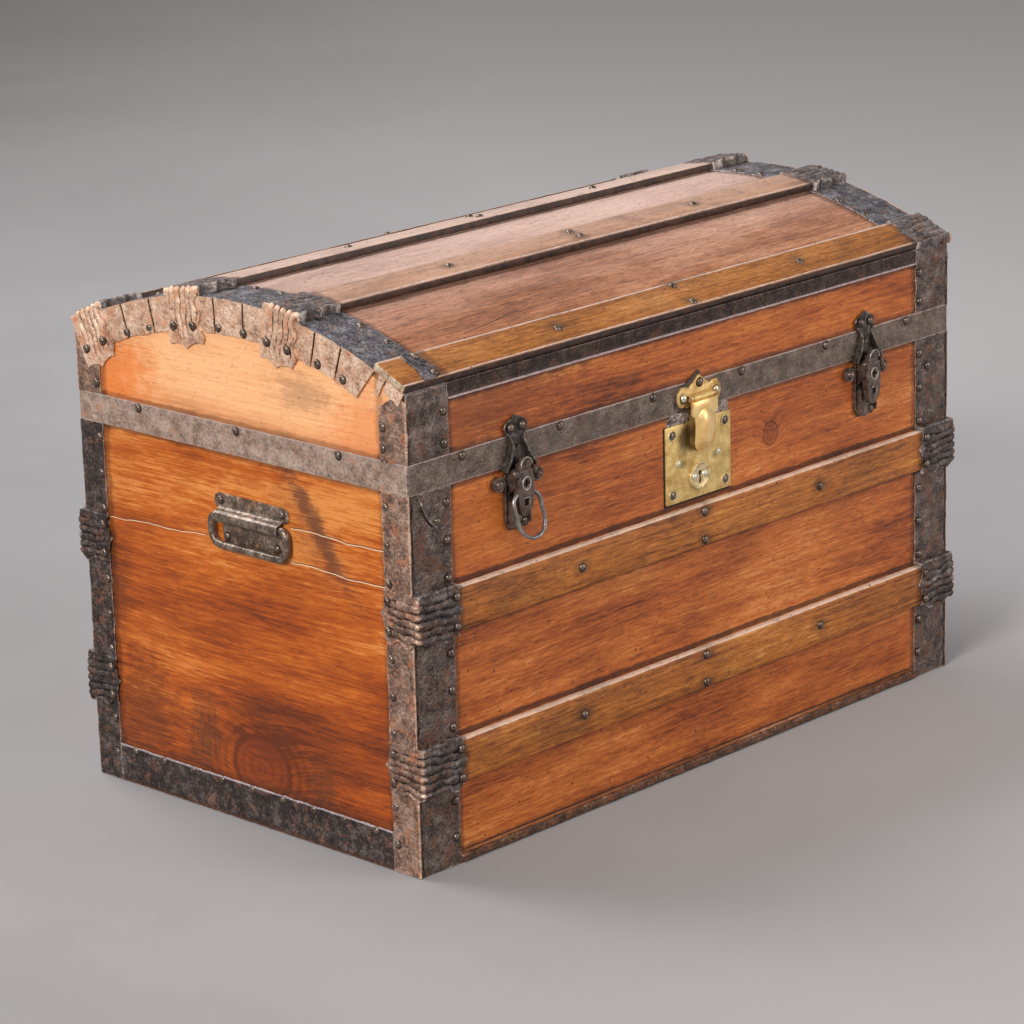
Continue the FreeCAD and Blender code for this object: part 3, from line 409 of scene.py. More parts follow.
def woodFinish(name, along, across, tones, grime=(), knots=(), cracks=(), stains=(), halos=(), gloss=0.42,
               inside="box"):
    finish = Finish(name)
    axes = dict(zip("xyz", finish.axes()))
    depth = axes[(set("xyz") - {along, across}).pop()]
    a, c = axes[along], axes[across]
    near = depth.fade(0.01, -0.01) if across == "z" else 1.0        # knots, patches and cracks on one side only

    def grain(lengthwise, crosswise, detail=2, rough=0.5, distort=0.0):
        at = finish.vector(a * lengthwise, c * crosswise, depth * crosswise)
        return finish.noise(at, 1.0, detail, rough, distort)

    warp = grain(2.2, 7) - 0.5
    for spot in knots:                      # the grain bends round a knot
        reach = oval(a - spot["at"][0], c - spot["at"][1], spot["size"])
        spot["reach"] = reach + warp * 0.25
        warp = warp + reach.fade(2.4, 0.3) * spot.get("bend", 0.0) * near
    c = c + warp * tones["wander"]
    streak = grain(9, 330, 4, 0.65)
    figure = grain(52, 420, 3, 0.65, 0.5)
    tone = grain(3.6, 16, 4, 0.6)
    ragged = finish.noise(finish.place, 60, 3, 0.65)
    bands = ((c * tones["bands"] + grain(1.1, 3.5) * 2.5) * 6.283).sine() * 0.5 + 0.5
    value = (0.5 + (streak - 0.5) * tones["streaks"] + (tone - 0.5) * tones["patches"]
             + (figure - 0.5) * tones["figure"] - bands ** 3.0 * tones["ringShare"])
    if "rise" in tones:                     # painted light: paler towards the top, where more light falls
        low, high, share = tones["rise"]
        value = value + (axes["z"].fade(low, high) - 0.5) * share
    for spot in knots:
        reach = spot["reach"]
        rings = (reach * spot["rings"]).sine() * 0.5 + 0.5
        ring = (reach - 1.0).size().fade(0.12, 0.02) * 0.25
        value = value - (rings * reach.fade(spot["spread"], 0.8) * 0.12 + ring) * near
    colour = finish.ramp(value, [(0.16, tones["dark"]), (0.42, tones["middle"]), (0.62, tones["light"]),
                                 (0.82, tones["pale"])])
    for spot in knots:
        colour = finish.blend(spot["reach"].fade(1.08, 0.92) * spot["dark"] * near, colour, tones["knot"])
    if "sheen" in tones:                    # painted sheen: paler towards one side, standing in for glare on the varnish
        letter, low, high, share, shade = tones["sheen"]
        pale = (axes[letter] + (tone - 0.5) * (high - low) * 0.8).fade(low, high)
        # the painted sheen fades again towards the back
        if letter == "y":
            pale = pale * (1.0 - axes["y"].fade(0.08, 0.22) * 0.6)
        colour = finish.blend(pale * share * (0.4 + streak * 1.2), colour, shade)
    for spot in stains:                     # patches of another colour
        da, dc = a - spot["at"][0], axes[across] - spot["at"][1]
        reach = oval(da + dc * spot.get("lean", 0.0), dc, spot["size"])
        share = (reach + (ragged - 0.5) * 1.6 + (figure - 0.5) * 1.4 + (streak - 0.5) * 1.0).fade(1.45, 0.25)
        if "comb" in spot:                  # drawn out in upright lines
            comb = finish.noise(finish.vector(a * 420, axes[across] * 60, depth), 1.0, 2).fade(0.38, 0.58)
            share = share * (1.0 - spot["comb"] + comb * spot["comb"])
        colour = finish.blend(share * spot["share"] * near, colour, spot["colour"])
    if "arris" in tones:                    # a pale line along a slat's edges: wear and a painted highlight
        where = axes["z"]
        if across == "y":
            slope = axes["y"] / (axes["z"] - domeZ)
            where = slope.math("ARCTANGENT", slope) * domeR
        for at, width in tones["arris"]:
            line = (where - at + (ragged - 0.5) * width * 0.7).size().fade(width, width * 0.55)
            colour = finish.blend((line * (0.5 + figure * 0.8)).clipped(), colour, tones["edge"])
    flecks = grain(105, 820, 2, 0.6).fade(0.58, 0.70)
    colour = finish.blend(flecks * tones["flecks"], colour, tones["pore"])
    specks = finish.noise(finish.place, 240, 2).fade(0.67, 0.74)
    colour = finish.blend(specks * tones["specks"], colour, tones["soot"])
    dirtAndShade = finish.noise(finish.place, 14, 4, 0.7).fade(0.45, 0.75) * tones["soil"]
    for letter, at, width, strength in grime:       # dirt and painted shade beside the iron and the slats
        dirtAndShade = dirtAndShade + (((axes[letter] - at).size() + (ragged - 0.5) * width * 1.2).fade(width, width * 0.35)
                       * strength)
    for along0, across0 in halos:           # and round the nails, also dirt and painted shade
        reach = ((a - along0) ** 2.0 * 0.4 + (axes[across] - across0) ** 2.0) ** 0.5
        dirtAndShade = dirtAndShade + (reach + (ragged - 0.5) * 0.012).fade(0.0125, 0.002) * 0.6
    dirtAndShade = dirtAndShade.clipped()
    colour = finish.blend(dirtAndShade * 0.85, colour, tones["soot"])
    height = streak * 0.5 + figure * 0.5 - flecks * 0.4 - specks * 0.5
    for line in cracks:
        (a0, c0), (a1, c1) = line["ends"]
        run = (a - a0) / (a1 - a0)
        off = axes[across] - c0 - run * (c1 - c0) + (grain(16, 0, 3) - 0.5) * line["wander"]
        within = (run - 0.5).size().fade(0.51, 0.49) * near
        # painted shadow: a dark line along one lip of the crack
        shade = (off - line["width"] * 0.9).size().fade(line["width"], line["width"] * 0.3) * within
        colour = finish.blend(shade * 0.8, colour, tones["soot"])
        if "colour" in line:
            bare = off.size().fade(line["width"], line["width"] * 0.3) * within * (0.5 + figure * 0.8)
            colour = finish.blend(bare.clipped() * 0.9, colour, line["colour"])
        height = height - shade * 2.0
    roughness = gloss + (streak - 0.5) * 0.25 + dirtAndShade * 0.25
    skin = 0.0006                           # how softly the bare inside begins
    if inside == "dome":
        radius = (axes["y"] ** 2.0 + (axes["z"] - domeZ) ** 2.0) ** 0.5
        inner = (radius - trunk["domeInside"]).fade(skin, -skin)
    elif inside == "box":
        wallX, wallY = trunk["walls"]
        inner = ((axes["x"].size() - wallX).fade(skin, -skin) * (axes["y"].size() - wallY).fade(skin, -skin)
                 * (axes["z"] - trunk["floor"]).fade(-0.0004, 0.0004))
    else:
        inner = 0.0 * streak
    bare = finish.ramp(streak * 0.5 + tone * 0.5, [(0.3, rgb(112, 82, 52)), (0.7, rgb(176, 138, 96))])
    colour = finish.blend(inner, colour, bare)
    return finish.surface(height, 0.0009, tones["relief"], Base_Color=colour,
                          Roughness=roughness + inner * 0.3, Coat_Weight=(1.0 - inner) * 0.12,
                          Coat_Roughness=0.25, Specular_IOR_Level=0.3)


def ironFinish(name, shades, gloss=0.5, metal=0.6, relief=0.75, rustFrom=0.52, wornFrom=0.54, ends=None, folds=False,
               rims=()):
    finish = Finish(name)
    mottle = finish.noise(finish.place, 75, 5, 0.7)
    rustAt = finish.noise(finish.place, 70, 4, 0.75)
    grit = finish.noise(finish.place, 330, 3, 0.6)
    pits = finish.cells(finish.place, 230)
    edge = finish.raised()
    rust = (rustAt + (grit - 0.5) * 0.5).fade(rustFrom, rustFrom + 0.12)
    worn = (edge + (grit - 0.5) * 0.10 + (mottle - 0.5) * 0.14).fade(wornFrom, wornFrom + 0.06)
    hollow = (edge + (mottle - 0.5) * 0.06).fade(0.485, 0.44)

    def layers(shades):
        tones = palette("dark middle light rust worn hollow", shades)
        colour = finish.ramp(mottle + (grit - 0.5) * 0.6, [(0.3, tones["dark"]), (0.5, tones["middle"]),
                                                          (0.7, tones["light"])])
        for share, strength, word in ((rust, 0.7, "rust"), (worn, 0.8, "worn"), (hollow, 0.8, "hollow")):
            colour = finish.blend(share * strength, colour, tones[word])
        return colour
    colour = layers(shades)
    if ends:                    # another look where the sheet lies on the trunk's ends
        share = (finish.axes()[0].size() + (mottle - 0.5) * 0.0005).fade(0.4160, 0.4166)
        colour = finish.blend(share, colour, layers(ends))
    if folds:                   # painted shade between the folds
        fold = finish.add("ShaderNodeAttribute", {"attribute_name": "fold"}, out="Fac")
        colour = finish.blend((fold + (grit - 0.5) * 0.2).fade(0.62, 0.22) * 0.9, colour, rgb(*shades[-1]))
    for letter, start, full, share, shade in rims:      # lighter or darker towards an edge
        reach = finish.axes()["xyz".index(letter)].size() + (mottle - 0.5) * 0.0012
        share = reach.fade(start, full) * share * (0.2 + mottle * 1.0 + grit * 0.6)
        colour = finish.blend(share.clipped(), colour, rgb(*shade))
    height = pits.fade(0.0, 0.5) * 0.6 + grit * 0.8 + mottle * 0.9
    return finish.surface(height, 0.0016, relief, Base_Color=colour, Metallic=metal * (1.0 - rust * 0.75),
                          Roughness=gloss + rust * 0.25 - worn * 0.15 + (grit - 0.5) * 0.3)


def plainFinish(name, dark, light, size, roughness, metallic, relief=0.3, worn=None, tarnish=()):
    finish = Finish(name)
    mottle = finish.noise(finish.place, 1 / size, 4, 0.6)
    fine = finish.noise(finish.place, 900, 3)
    edge = finish.raised()
    dark, light = rgb(*dark), rgb(*light)

    def deeper(share):
        return tuple(c * share for c in dark[:3]) + (1.0,)
    colour = finish.ramp(mottle + (fine - 0.5) * 0.3, [(0.32, dark), (0.66, light)])
    if worn:
        colour = finish.blend((edge + (fine - 0.5) * 0.05).fade(0.525, 0.58) * 0.85, colour, rgb(*worn))
        colour = finish.blend(edge.fade(0.485, 0.44) * 0.8, colour, deeper(0.25))
    places = finish.axes() if tarnish else None
    for x, z, wide, high, share in tarnish:     # soft dark patches, among them a painted shadow
        reach = oval(places[0] - x, places[2] - z, (wide, high)) + (mottle - 0.5) * 0.6
        colour = finish.blend(reach.fade(1.25, 0.35) * share, colour, deeper(0.12))
    return finish.surface(fine * 0.4 + mottle, 0.0004, relief, Base_Color=colour,
                          Roughness=roughness + (mottle - 0.5) * 0.25, Metallic=metallic)


woodGrain = {                   # how strongly each layer shows, where a wood has no value of its own
    "wander": 0.02,
    "bands": 30,
    "ringShare": 0.07,
    "streaks": 0.6,
    "patches": 1.0,
    "figure": 0.9,
    "flecks": 0.7,
    "specks": 0.7,
    "soil": 0.35,
    "relief": 0.35,
}


# the last wood shade darkens specks and dirt, and also paints shade beside irons and slats and the cracks' shadows
def woodTones(*colours, **settings):
    return {**woodGrain, **palette("dark middle light pale pore soot", colours), **settings}


frontTones = woodTones((98, 40, 14), (174, 88, 34), (206, 116, 50), (230, 152, 84), (100, 42, 16), (50, 30, 26),
                       patches=1.3, figure=0.75, soil=0.2, knot=rgb(120, 56, 26))
# on the ends, rise paints light, paler towards the top, and sheen paints a highlight on the lid's end
endTones = woodTones((100, 42, 12), (160, 72, 14), (194, 99, 27), (226, 144, 72), (104, 44, 12), (66, 36, 20),
                     bands=20, soil=0.14, rise=(0.06, 0.40, 0.38), sheen=("z", 0.385, 0.445, 0.95, rgb(255, 192, 138)),
                     specks=0.3, flecks=0.25, figure=0.6, streaks=0.7, patches=1.2, knot=rgb(132, 56, 22))
# sheen on the top and the dome slats: a painted glare, paler from the front towards the back
topTones = woodTones((96, 52, 28), (156, 94, 56), (184, 120, 78), (212, 154, 118), (88, 44, 26), (58, 38, 34),
                     soil=0.22, sheen=("y", -0.24, 0.10, 0.85, rgb(228, 198, 186)))
domeSlatTones = woodTones((88, 50, 18), (150, 90, 36), (180, 114, 52), (204, 142, 82), (76, 44, 28), (52, 42, 38),
                          soil=0.42, sheen=("y", -0.22, 0.10, 0.85, rgb(226, 196, 180)), edge=rgb(214, 188, 176),
                          arris=[(domeR * math.asin(offset / domeR) + side * 0.0190, 0.0012)
                                 for offset in trunk["domeSlats"] for side in (-1, 1)])
slatTones = woodTones((92, 47, 14), (166, 95, 36), (194, 118, 48), (220, 154, 80), (76, 42, 18), (54, 36, 26),
                      streaks=0.9, soil=0.45, edge=rgb(236, 206, 184),
                      arris=[(level + 0.0218, 0.0014) for level in trunk["slatLevels"]])


def grimeAndShadeAt(strength, width, *heights):
    return [("z", at, width, strength) for at in heights]


def beside(reach, width, strength):         # dirt and painted shade beside the irons at both ends of a board
    return [("x", side * reach, width, strength) for side in (-1, 1)]


def crack(start, end, width=0.0008, wander=0.004, colour=None):
    line = {"ends": (start, end), "width": width, "wander": wander}
    return dict(line, colour=rgb(*colour)) if colour else line


def tintPatch(at, size, share, colour, **more):
    return dict(more, at=at, size=size, share=share, colour=rgb(*colour))


nailLine = -0.2370              # nails in front of it go through a slat
# lines of dirt and painted shade above and below the body slats
aboveSlats = [("z", level + 0.0250, 0.0042, 0.9) for level in trunk["slatLevels"]]
belowSlats = [("z", level - 0.0240, 0.0040, 0.8) for level in trunk["slatLevels"]]
cleft = (0.010, (240, 206, 172))        # wander and colour of the open cracks
greyBrown, darkBrown = (84, 50, 30), (84, 40, 16)
woodLooks = {
    "frontWood": dict(
        along="x", across="z", tones=frontTones,
        grime=beside(trunk["flange"], 0.009, 0.6) + aboveSlats + belowSlats
        + grimeAndShadeAt(0.7, 0.007, 0.385, 0.415, 0.470) + grimeAndShadeAt(0.5, 0.012, 0.008) + grimeAndShadeAt(1.3, 0.0024, 0.0122),
        knots=[{"at": (0.1164, 0.3335), "size": (0.0115, 0.012), "rings": 4, "spread": 1.6, "dark": 0.3,
                "bend": 0.5}],
        stains=[tintPatch((-0.300, 0.452), (0.130, 0.045), 0.6, (122, 58, 30)),
                tintPatch((-0.310, 0.340), (0.075, 0.045), 0.4, (206, 112, 26))],
        cracks=[crack((0.132, 0.4728), (0.238, 0.4691)), crack((-0.357, 0.4666), (-0.315, 0.4669), 0.0009)]),
    "endWood": dict(
        along="y", across="z", tones=endTones,
        grime=[("y", -0.2005, 0.007, 0.4), ("y", 0.2005, 0.010, 0.6)]
        + grimeAndShadeAt(0.6, 0.006, 0.385, 0.416) + grimeAndShadeAt(0.5, 0.008, 0.042),
        knots=[{"at": (-0.014, 0.062), "size": (0.038, 0.031), "rings": 19, "spread": 2.6, "dark": 0.5, "bend": 0.9}],
        stains=[tintPatch((0.070, 0.082), (0.026, 0.046), 0.75, greyBrown, comb=0.55),
                tintPatch((-0.100, 0.058), (0.018, 0.034), 0.7, greyBrown, comb=0.55),
                tintPatch((0.160, 0.085), (0.052, 0.060), 0.55, darkBrown),
                tintPatch((0.195, 0.215), (0.022, 0.060), 0.5, darkBrown),
                tintPatch((-0.030, 0.120), (0.060, 0.024), 0.2, (96, 44, 16)),
                tintPatch((-0.108, 0.330), (0.014, 0.056), 0.85, (92, 66, 52), lean=-0.72),
                tintPatch((-0.104, 0.320), (0.034, 0.062), 0.45, (126, 58, 20), lean=-0.72),
                tintPatch((-0.016, 0.360), (0.034, 0.007), 0.55, (170, 78, 14)),
                tintPatch((0.185, 0.440), (0.070, 0.050), 0.8, (232, 124, 44)),
                tintPatch((-0.190, 0.435), (0.060, 0.045), 0.6, (236, 140, 80)),
                tintPatch((-0.095, 0.462), (0.040, 0.018), 0.42, (126, 98, 82))],
        cracks=[crack((0.1984, 0.2863), (0.0535, 0.2942), 0.0007, *cleft),
                crack((-0.0716, 0.3245), (-0.2002, 0.3240), 0.0009, *cleft),
                crack((-0.068, 0.2893), (-0.2002, 0.2880), 0.0009, *cleft)]),
    # the top's dark lines beside the dome slats are painted shade under the slats' sides, with dirt
    "topWood": dict(
        along="x", across="y", tones=topTones, inside="dome", gloss=0.34,
        grime=beside(0.3585, 0.010, 0.7)
        + [("y", at, 0.006, 0.7) for at in (-0.195, -0.094, -0.048, 0.048, 0.094, 0.195)],
        cracks=[crack((-0.276, -0.180), (-0.185, -0.167))]),
    "slatWood": dict(
        along="x", across="z", tones=slatTones, inside=None, grime=beside(0.361, 0.010, 0.6),
        halos=spots("base_nails", 0, 2, lambda x, y, z: y < nailLine and abs(x) < 0.36)),
    "domeSlatWood": dict(
        along="x", across="y", tones=domeSlatTones, inside=None, gloss=0.36, grime=beside(0.361, 0.010, 0.6),
        halos=spots("lid_nails", 0, 1, lambda x, y, z: abs(x) < 0.36 and y < 0.05 and z > 0.478)),
    "bottomWood": dict(along="x", across="y", tones=dict(topTones, soil=0.6), gloss=0.6),
}
rustShades = [(80, 62, 53), (140, 112, 98), (190, 160, 142), (172, 104, 64), (236, 204, 180), (26, 19, 16)]
lapShades = [(156, 120, 98), (220, 182, 156), (248, 222, 198), (196, 126, 80), (214, 176, 146), (34, 23, 18)]
ironLooks = {                   # shades: dark, middle, light, rust, worn and hollow
    "edgeIron": dict(
        shades=[(56, 47, 44), (100, 86, 80), (146, 128, 120), (116, 70, 44), (200, 184, 176), (20, 17, 16)],
        rustFrom=0.51),
    # its rim is paler along the corner's bend: wear and a painted highlight
    "darkIron": dict(
        shades=[(38, 32, 30), (72, 62, 58), (118, 106, 102), (128, 78, 52), (214, 202, 200), (14, 12, 11)],
        rustFrom=0.53, metal=0.5, rims=[("y", 0.2342, 0.2362, 0.6, (190, 170, 160))]),
    # its rims: paler along the top edge, wear and a painted highlight, and rust brown along the foot
    "sillIron": dict(
        shades=[(38, 32, 30), (70, 60, 57), (122, 110, 107), (128, 78, 52), (226, 214, 216), (14, 12, 11)],
        rustFrom=0.55, metal=0.5, rims=[("z", 0.0388, 0.0398, 0.9, (206, 192, 198)),
                                        ("z", 0.0060, 0.0020, 0.8, (92, 58, 40))]),
    "domeIron": dict(
        shades=[(58, 54, 57), (106, 102, 106), (160, 156, 160), (128, 90, 68), (206, 196, 192), (20, 18, 19)],
        rustFrom=0.56),
    # its rims: paler along the corner's bend, wear and a painted highlight; a painted shadow in the gap past the corner
    "rustIron": dict(
        shades=rustShades, rustFrom=0.53, metal=0.4, rims=[("y", 0.2346, 0.2364, 0.6, (220, 178, 152)),
                                                           ("x", 0.4160, 0.4152, 0.95, (30, 20, 17))]),
    "footIron": dict(
        shades=[(52, 34, 25), (94, 64, 46), (136, 98, 74), (146, 84, 48), (206, 164, 132), (20, 14, 11)], metal=0.3),
    "lapIron": dict(shades=lapShades, rustFrom=0.53, metal=0.3),
    # its rims: a painted highlight along the rounded top edge, and paler along the lower edge
    "bandIron": dict(
        shades=[(78, 64, 56), (110, 94, 84), (140, 124, 114), (124, 82, 58), (214, 196, 184), (30, 26, 24)],
        ends=[(124, 102, 90), (170, 146, 132), (202, 180, 166), (170, 116, 82), (240, 214, 196), (34, 28, 25)],
        rustFrom=0.57, relief=0.5, metal=0.35, rims=[("z", 0.4143, 0.4149, 0.8, (196, 180, 176)),
                                                     ("z", 0.3866, 0.3860, 0.5, (176, 150, 138))]),
    "clampIron": dict(
        shades=[(46, 40, 39), (84, 74, 71), (130, 120, 117), (116, 76, 54), (210, 200, 198), (9, 7, 7)],
        ends=rustShades, relief=0.5, folds=True),
    "backClampIron": dict(
        shades=[(42, 36, 35), (74, 64, 61), (118, 106, 102), (116, 72, 50), (196, 184, 180), (9, 7, 7)],
        relief=0.5, folds=True),
    "lidClampIron": dict(
        shades=[(60, 54, 54), (104, 96, 96), (150, 140, 138), (136, 98, 74), (226, 212, 204), (12, 10, 10)],
        ends=lapShades, relief=0.5, folds=True, gloss=0.6, metal=0.35),
    # its rim: a pale lower edge, wear and a painted highlight on the rounded lip
    "shoulderIron": dict(
        shades=[(34, 26, 24), (58, 45, 40), (92, 74, 66), (96, 60, 40), (160, 148, 150), (14, 11, 10)],
        relief=0.5, rims=[("z", 0.4716, 0.4708, 0.8, (186, 164, 164))]),
    "latchIron": dict(
        shades=[(44, 39, 36), (76, 68, 63), (122, 112, 105), (84, 56, 42), (196, 186, 178), (10, 9, 8)],
        rustFrom=0.60, gloss=0.40, relief=0.12),
    "handleIron": dict(
        shades=[(70, 56, 48), (110, 92, 80), (158, 138, 124), (150, 96, 62), (226, 210, 194), (18, 14, 12)],
        rustFrom=0.57, gloss=0.45, metal=0.4, relief=0.5),
    # a lighter copy of the handle iron: painted light on the hood and bail
    "hoodIron": dict(
        shades=[(70, 58, 50), (120, 104, 92), (176, 158, 144), (130, 90, 64), (226, 208, 192), (16, 12, 10)],
        rustFrom=0.60, wornFrom=0.56, gloss=0.32, relief=0.2),
}
plainLooks = {                  # dark, light, grain, roughness, metal and the rest
    "darkSide": ((28, 22, 23), (82, 54, 40), 0.009, 0.45, 0.0, {}),
    "leverIron": ((58, 48, 43), (124, 105, 95), 0.007, 0.34, 0.5, {"relief": 0.2}),
    "leverRim": ((120, 108, 100), (206, 194, 184), 0.004, 0.36, 0.5, {"relief": 0.2}),
    "nailSteel": ((62, 52, 46), (140, 124, 112), 0.004, 0.27, 0.65, {}),
    # the first patch is a painted shadow left of the hasp tongue; the others darken round the escutcheon and the two
    # rivets
    "lockBrass": ((196, 156, 84), (250, 218, 146), 0.014, 0.38, 0.6, {"tarnish": [
        (-0.0205, 0.357, 0.0135, 0.022, 0.92), (0, 0.3148, 0.019, 0.018, 0.35),
        (-0.0245, 0.3310, 0.006, 0.006, 0.5), (0.0255, 0.3310, 0.006, 0.006, 0.5)]}),
    "paleBrass": ((196, 164, 108), (246, 226, 178), 0.006, 0.34, 0.6, {}),
    "tongueBrass": ((238, 186, 106), (255, 224, 158), 0.016, 0.22, 0.6, {"relief": 0.15}),
    "crownBrass": ((166, 124, 66), (232, 196, 132), 0.010, 0.38, 0.6, {}),
    "dullBrass": ((84, 62, 32), (148, 116, 66), 0.010, 0.5, 0.5, {}),
    "sootSmear": ((36, 30, 28), (112, 98, 90), 0.009, 0.6, 0.3, {}),
    "brightRivet": ((176, 166, 130), (232, 226, 200), 0.003, 0.32, 0.6, {"worn": (255, 252, 236)}),
    "ringSteel": ((62, 57, 55), (132, 126, 124), 0.006, 0.34, 0.7, {"worn": (210, 206, 204)}),
    "hingeIron": ((46, 38, 34), (104, 88, 78), 0.010, 0.42, 0.5, {}),
    "darkGap": ((14, 11, 10), (32, 25, 22), 0.006, 0.8, 0.0, {}),
    "nailSoot": ((30, 20, 15), (62, 40, 28), 0.006, 0.8, 0.0, {}),
    "endGrain": ((140, 114, 90), (212, 188, 162), 0.004, 0.75, 0.0, {"relief": 0.6}),
}
for name, look in woodLooks.items():
    finishes[name] = woodFinish(name, **look)
for name, look in ironLooks.items():
    finishes[name] = ironFinish(name, **look)
for name, (*look, more) in plainLooks.items():
    finishes[name] = plainFinish(name, *look, **more)
print("finishes made")


def handOver(piece, body, slot, looks, *stood):     # a finished piece joins its body
    piece.data.materials.clear()
    for look in looks.split():
        piece.data.materials.append(finishes[look])
    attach(piece, body)
    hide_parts(*stood)


def inIron(piece, body, look, *stood):
    handOver(piece, body, "edging_iron", look, *stood)


def inHardware(piece, body, look, *stood):
    handOver(piece, body, "hardware_iron", look, *stood)


def turned(piece, cornerX, cornerY, radius):    # a sheet laid along the front goes round the left corner
    def where(co):
        past = cornerX + radius - co.x
        if past <= 0:
            return co
        out = cornerY - co.y
        angle = min(past / radius, math.pi / 2)
        beyond = max(0.0, past - radius * math.pi / 2)
        return Vector((cornerX + radius - (radius + out) * math.sin(angle),
                       cornerY + radius - (radius + out) * math.cos(angle) + beyond, co.z))
    return moved(piece, where)


def fourCorners(piece, name):   # the front left piece and its three neighbours
    places = {"front_left": None, "front_right": mirrorX, "back_left": mirrorY, "back_right": mirrorX @ mirrorY}
    return {place: twin(piece, name + "_" + place, matrix) for place, matrix in places.items()}

# Curved boards of the lid

domeBoards = {
    "radius": 0.51793,
    "thick": 0.006,
    "seams": (-0.2448, -0.176, -0.071, 0.018, 0.071, 0.158, 0.2448),     # along the curve
    "gap": 0.0007,
}


def makeDomeBoards():
    boards = []
    seams = domeBoards["seams"]
    for start, end in zip(seams, seams[1:]):
        board = sheet("domeBoard", (-boardX, start, domeZ + domeBoards["radius"]), (2 * boardX, 0, 0),
                      (0, end - start, 0), (24, max(6, round((end - start) / 0.006))))
        dent(board, "wavy", 0.0006, "Z")
        thicken(board, domeBoards["thick"])
        soften(board, domeBoards["gap"], 1, 60)
        boards.append(curl(board))
    piece = smooth(joined("lidTopBoards", *boards), 30)
    handOver(piece, "lid", "case_wood", "topWood", "lid_top_boards")


makeDomeBoards()
print("dome boards curved")

# Slats, with a worn upper arris

slats = {
    "half": 0.4125,
    "width": 0.045,
    "domeWidth": 0.0425,
    "arris": 0.0026,
    "cutAt": 0.2375,
}


def slatBar(name, low, high):
    return worked(block(name, low, high), "EDGE", lambda a, b: abs(a.x - b.x) > 0.1, bpy.ops.mesh.subdivide,
                  number_cuts=150)


def finishSlat(piece, body, node, looks, test=lambda at, n: 0):
    soften(piece, slats["arris"], 3, 50)
    dent(piece, "ragged", 0.0005)
    dent(piece, "wavy", 0.0010)
    smooth(piece, 50)
    handOver(piece, body, "slat_wood", looks, node)
    for face in piece.data.polygons:
        face.material_index = int(test(face.center, face.normal))


def makeSlats():
    for word, level in zip(("lower", "upper"), trunk["slatLevels"]):
        reach = slats["width"] / 2
        bar = slatBar("slat", (-slats["half"], -halfDepth - trunk["slat"], level - reach),
                      (slats["half"], -boardY, level + reach))
        back = twin(bar, "backSlat", mirrorY)
        bar.name = "frontSlat_" + word
        back.name = "backSlat_" + word
        finishSlat(bar, "base", "front_slat_" + word, "slatWood")
        finishSlat(back, "base", "back_slat_" + word, "slatWood")
    names = ("front_shoulder", "front", "back", "back_shoulder")
    for name, offset in zip(names, trunk["domeSlats"]):
        reach = slats["domeWidth"] / 2
        left = -halfLength if name == "front_shoulder" else -slats["half"]
        bar = slatBar("lidSlat_" + name, (left, -reach, domeZ + domeR - 0.0018),
                      (slats["half"], reach, domeZ + domeR + trunk["slat"]))
        bar.data.transform(rolled(offset))
        if "shoulder" in name:
            side = math.copysign(1, offset)
            trimmed(bar, (0, side * slats["cutAt"], 0), (0, side, 0))
        slope = math.asin(offset / domeR)
        near = Vector((0, -math.cos(slope), math.sin(slope)))
        # the near sides are dark: dirt and painted shade
        finishSlat(bar, "lid", "lid_slat_" + name, "domeSlatWood darkSide", lambda at, n: n.dot(near) > 0.75)


makeSlats()
print("slats planed")

# Sheet iron on the edges

irons = {
    "front": 0.056,             # flange widths
    "end": 0.036,
    "wrap": 0.0034,
    "stand": 0.0004,
    "sheet": 0.0011,
    "cell": 0.003,
}


def rimmed(piece):              # a narrow row of faces along the edges
    return worked(piece, "FACE", anywhere, bpy.ops.mesh.inset, thickness=0.0007, use_boundary=True)


def ironSheet(piece, hammered=0.0012, pitted=0.0003, thick=irons["sheet"], angle=55):
    dent(piece, "hammered", hammered, middle=0.4)
    dent(piece, "pitted", pitted)
    return smooth(thicken(rimmed(piece), thick), angle)


def frontLeaf(bottom, top, name):
    width = irons["front"] - 0.0008
    rows = round((top - bottom) / irons["cell"])
    leaf = sheet(name, (-halfLength + 0.0008, -halfDepth, bottom), (width, 0, 0), (0, 0, top - bottom),
                 (round(width / irons["cell"]), rows))
    inner = -halfLength + irons["front"]
    return dent(leaf, "ragged", 0.0012, "X", lambda co: 1 - (inner - co.x) / 0.006)


def endLeaf(bottom, top, name, crown=None):
    width = irons["end"] + irons["stand"] + irons["wrap"]
    left = -halfLength - irons["end"] - irons["stand"] + 0.0012
    rows = round((top - bottom) / irons["cell"])
    leaf = sheet(name, (left, -halfDepth - irons["stand"], bottom), (width, 0, 0), (0, 0, top - bottom),
                 (round(width / 0.0022), rows))
    dent(leaf, "ragged", 0.0055, "X", lambda co: 1 - (left + width - co.x) / 0.0036, middle=0.62)
    dent(leaf, "ragged", 0.0030, "X", lambda co: 1 - (co.x - left) / 0.005)
    if crown:
        moved(leaf, lambda co: Vector((co.x, co.y, bottom + (co.z - bottom) * crown((co.x - left) / width))))
    return turned(leaf, -halfLength - irons["stand"], -halfDepth - irons["stand"], 0.0018)


def makeCornerIrons():
    front = frontLeaf(0.001, trunk["baseHeight"], "frontLeaf")
    end = endLeaf(0.001, trunk["baseHeight"], "endLeaf")
    fronts, ends = fourCorners(front, "frontLeaf"), fourCorners(end, "endLeaf")
    for place in fronts:
        ironSheet(fronts[place], 0.0016, 0.0005)
        ironSheet(ends[place], 0.0020, 0.0006)
        inIron(fronts[place], "base", "edgeIron", "corner_iron_" + place)
        inIron(ends[place], "base", "rustIron" if "front" in place else "darkIron", "corner_iron_" + place)
    discard(front, end)


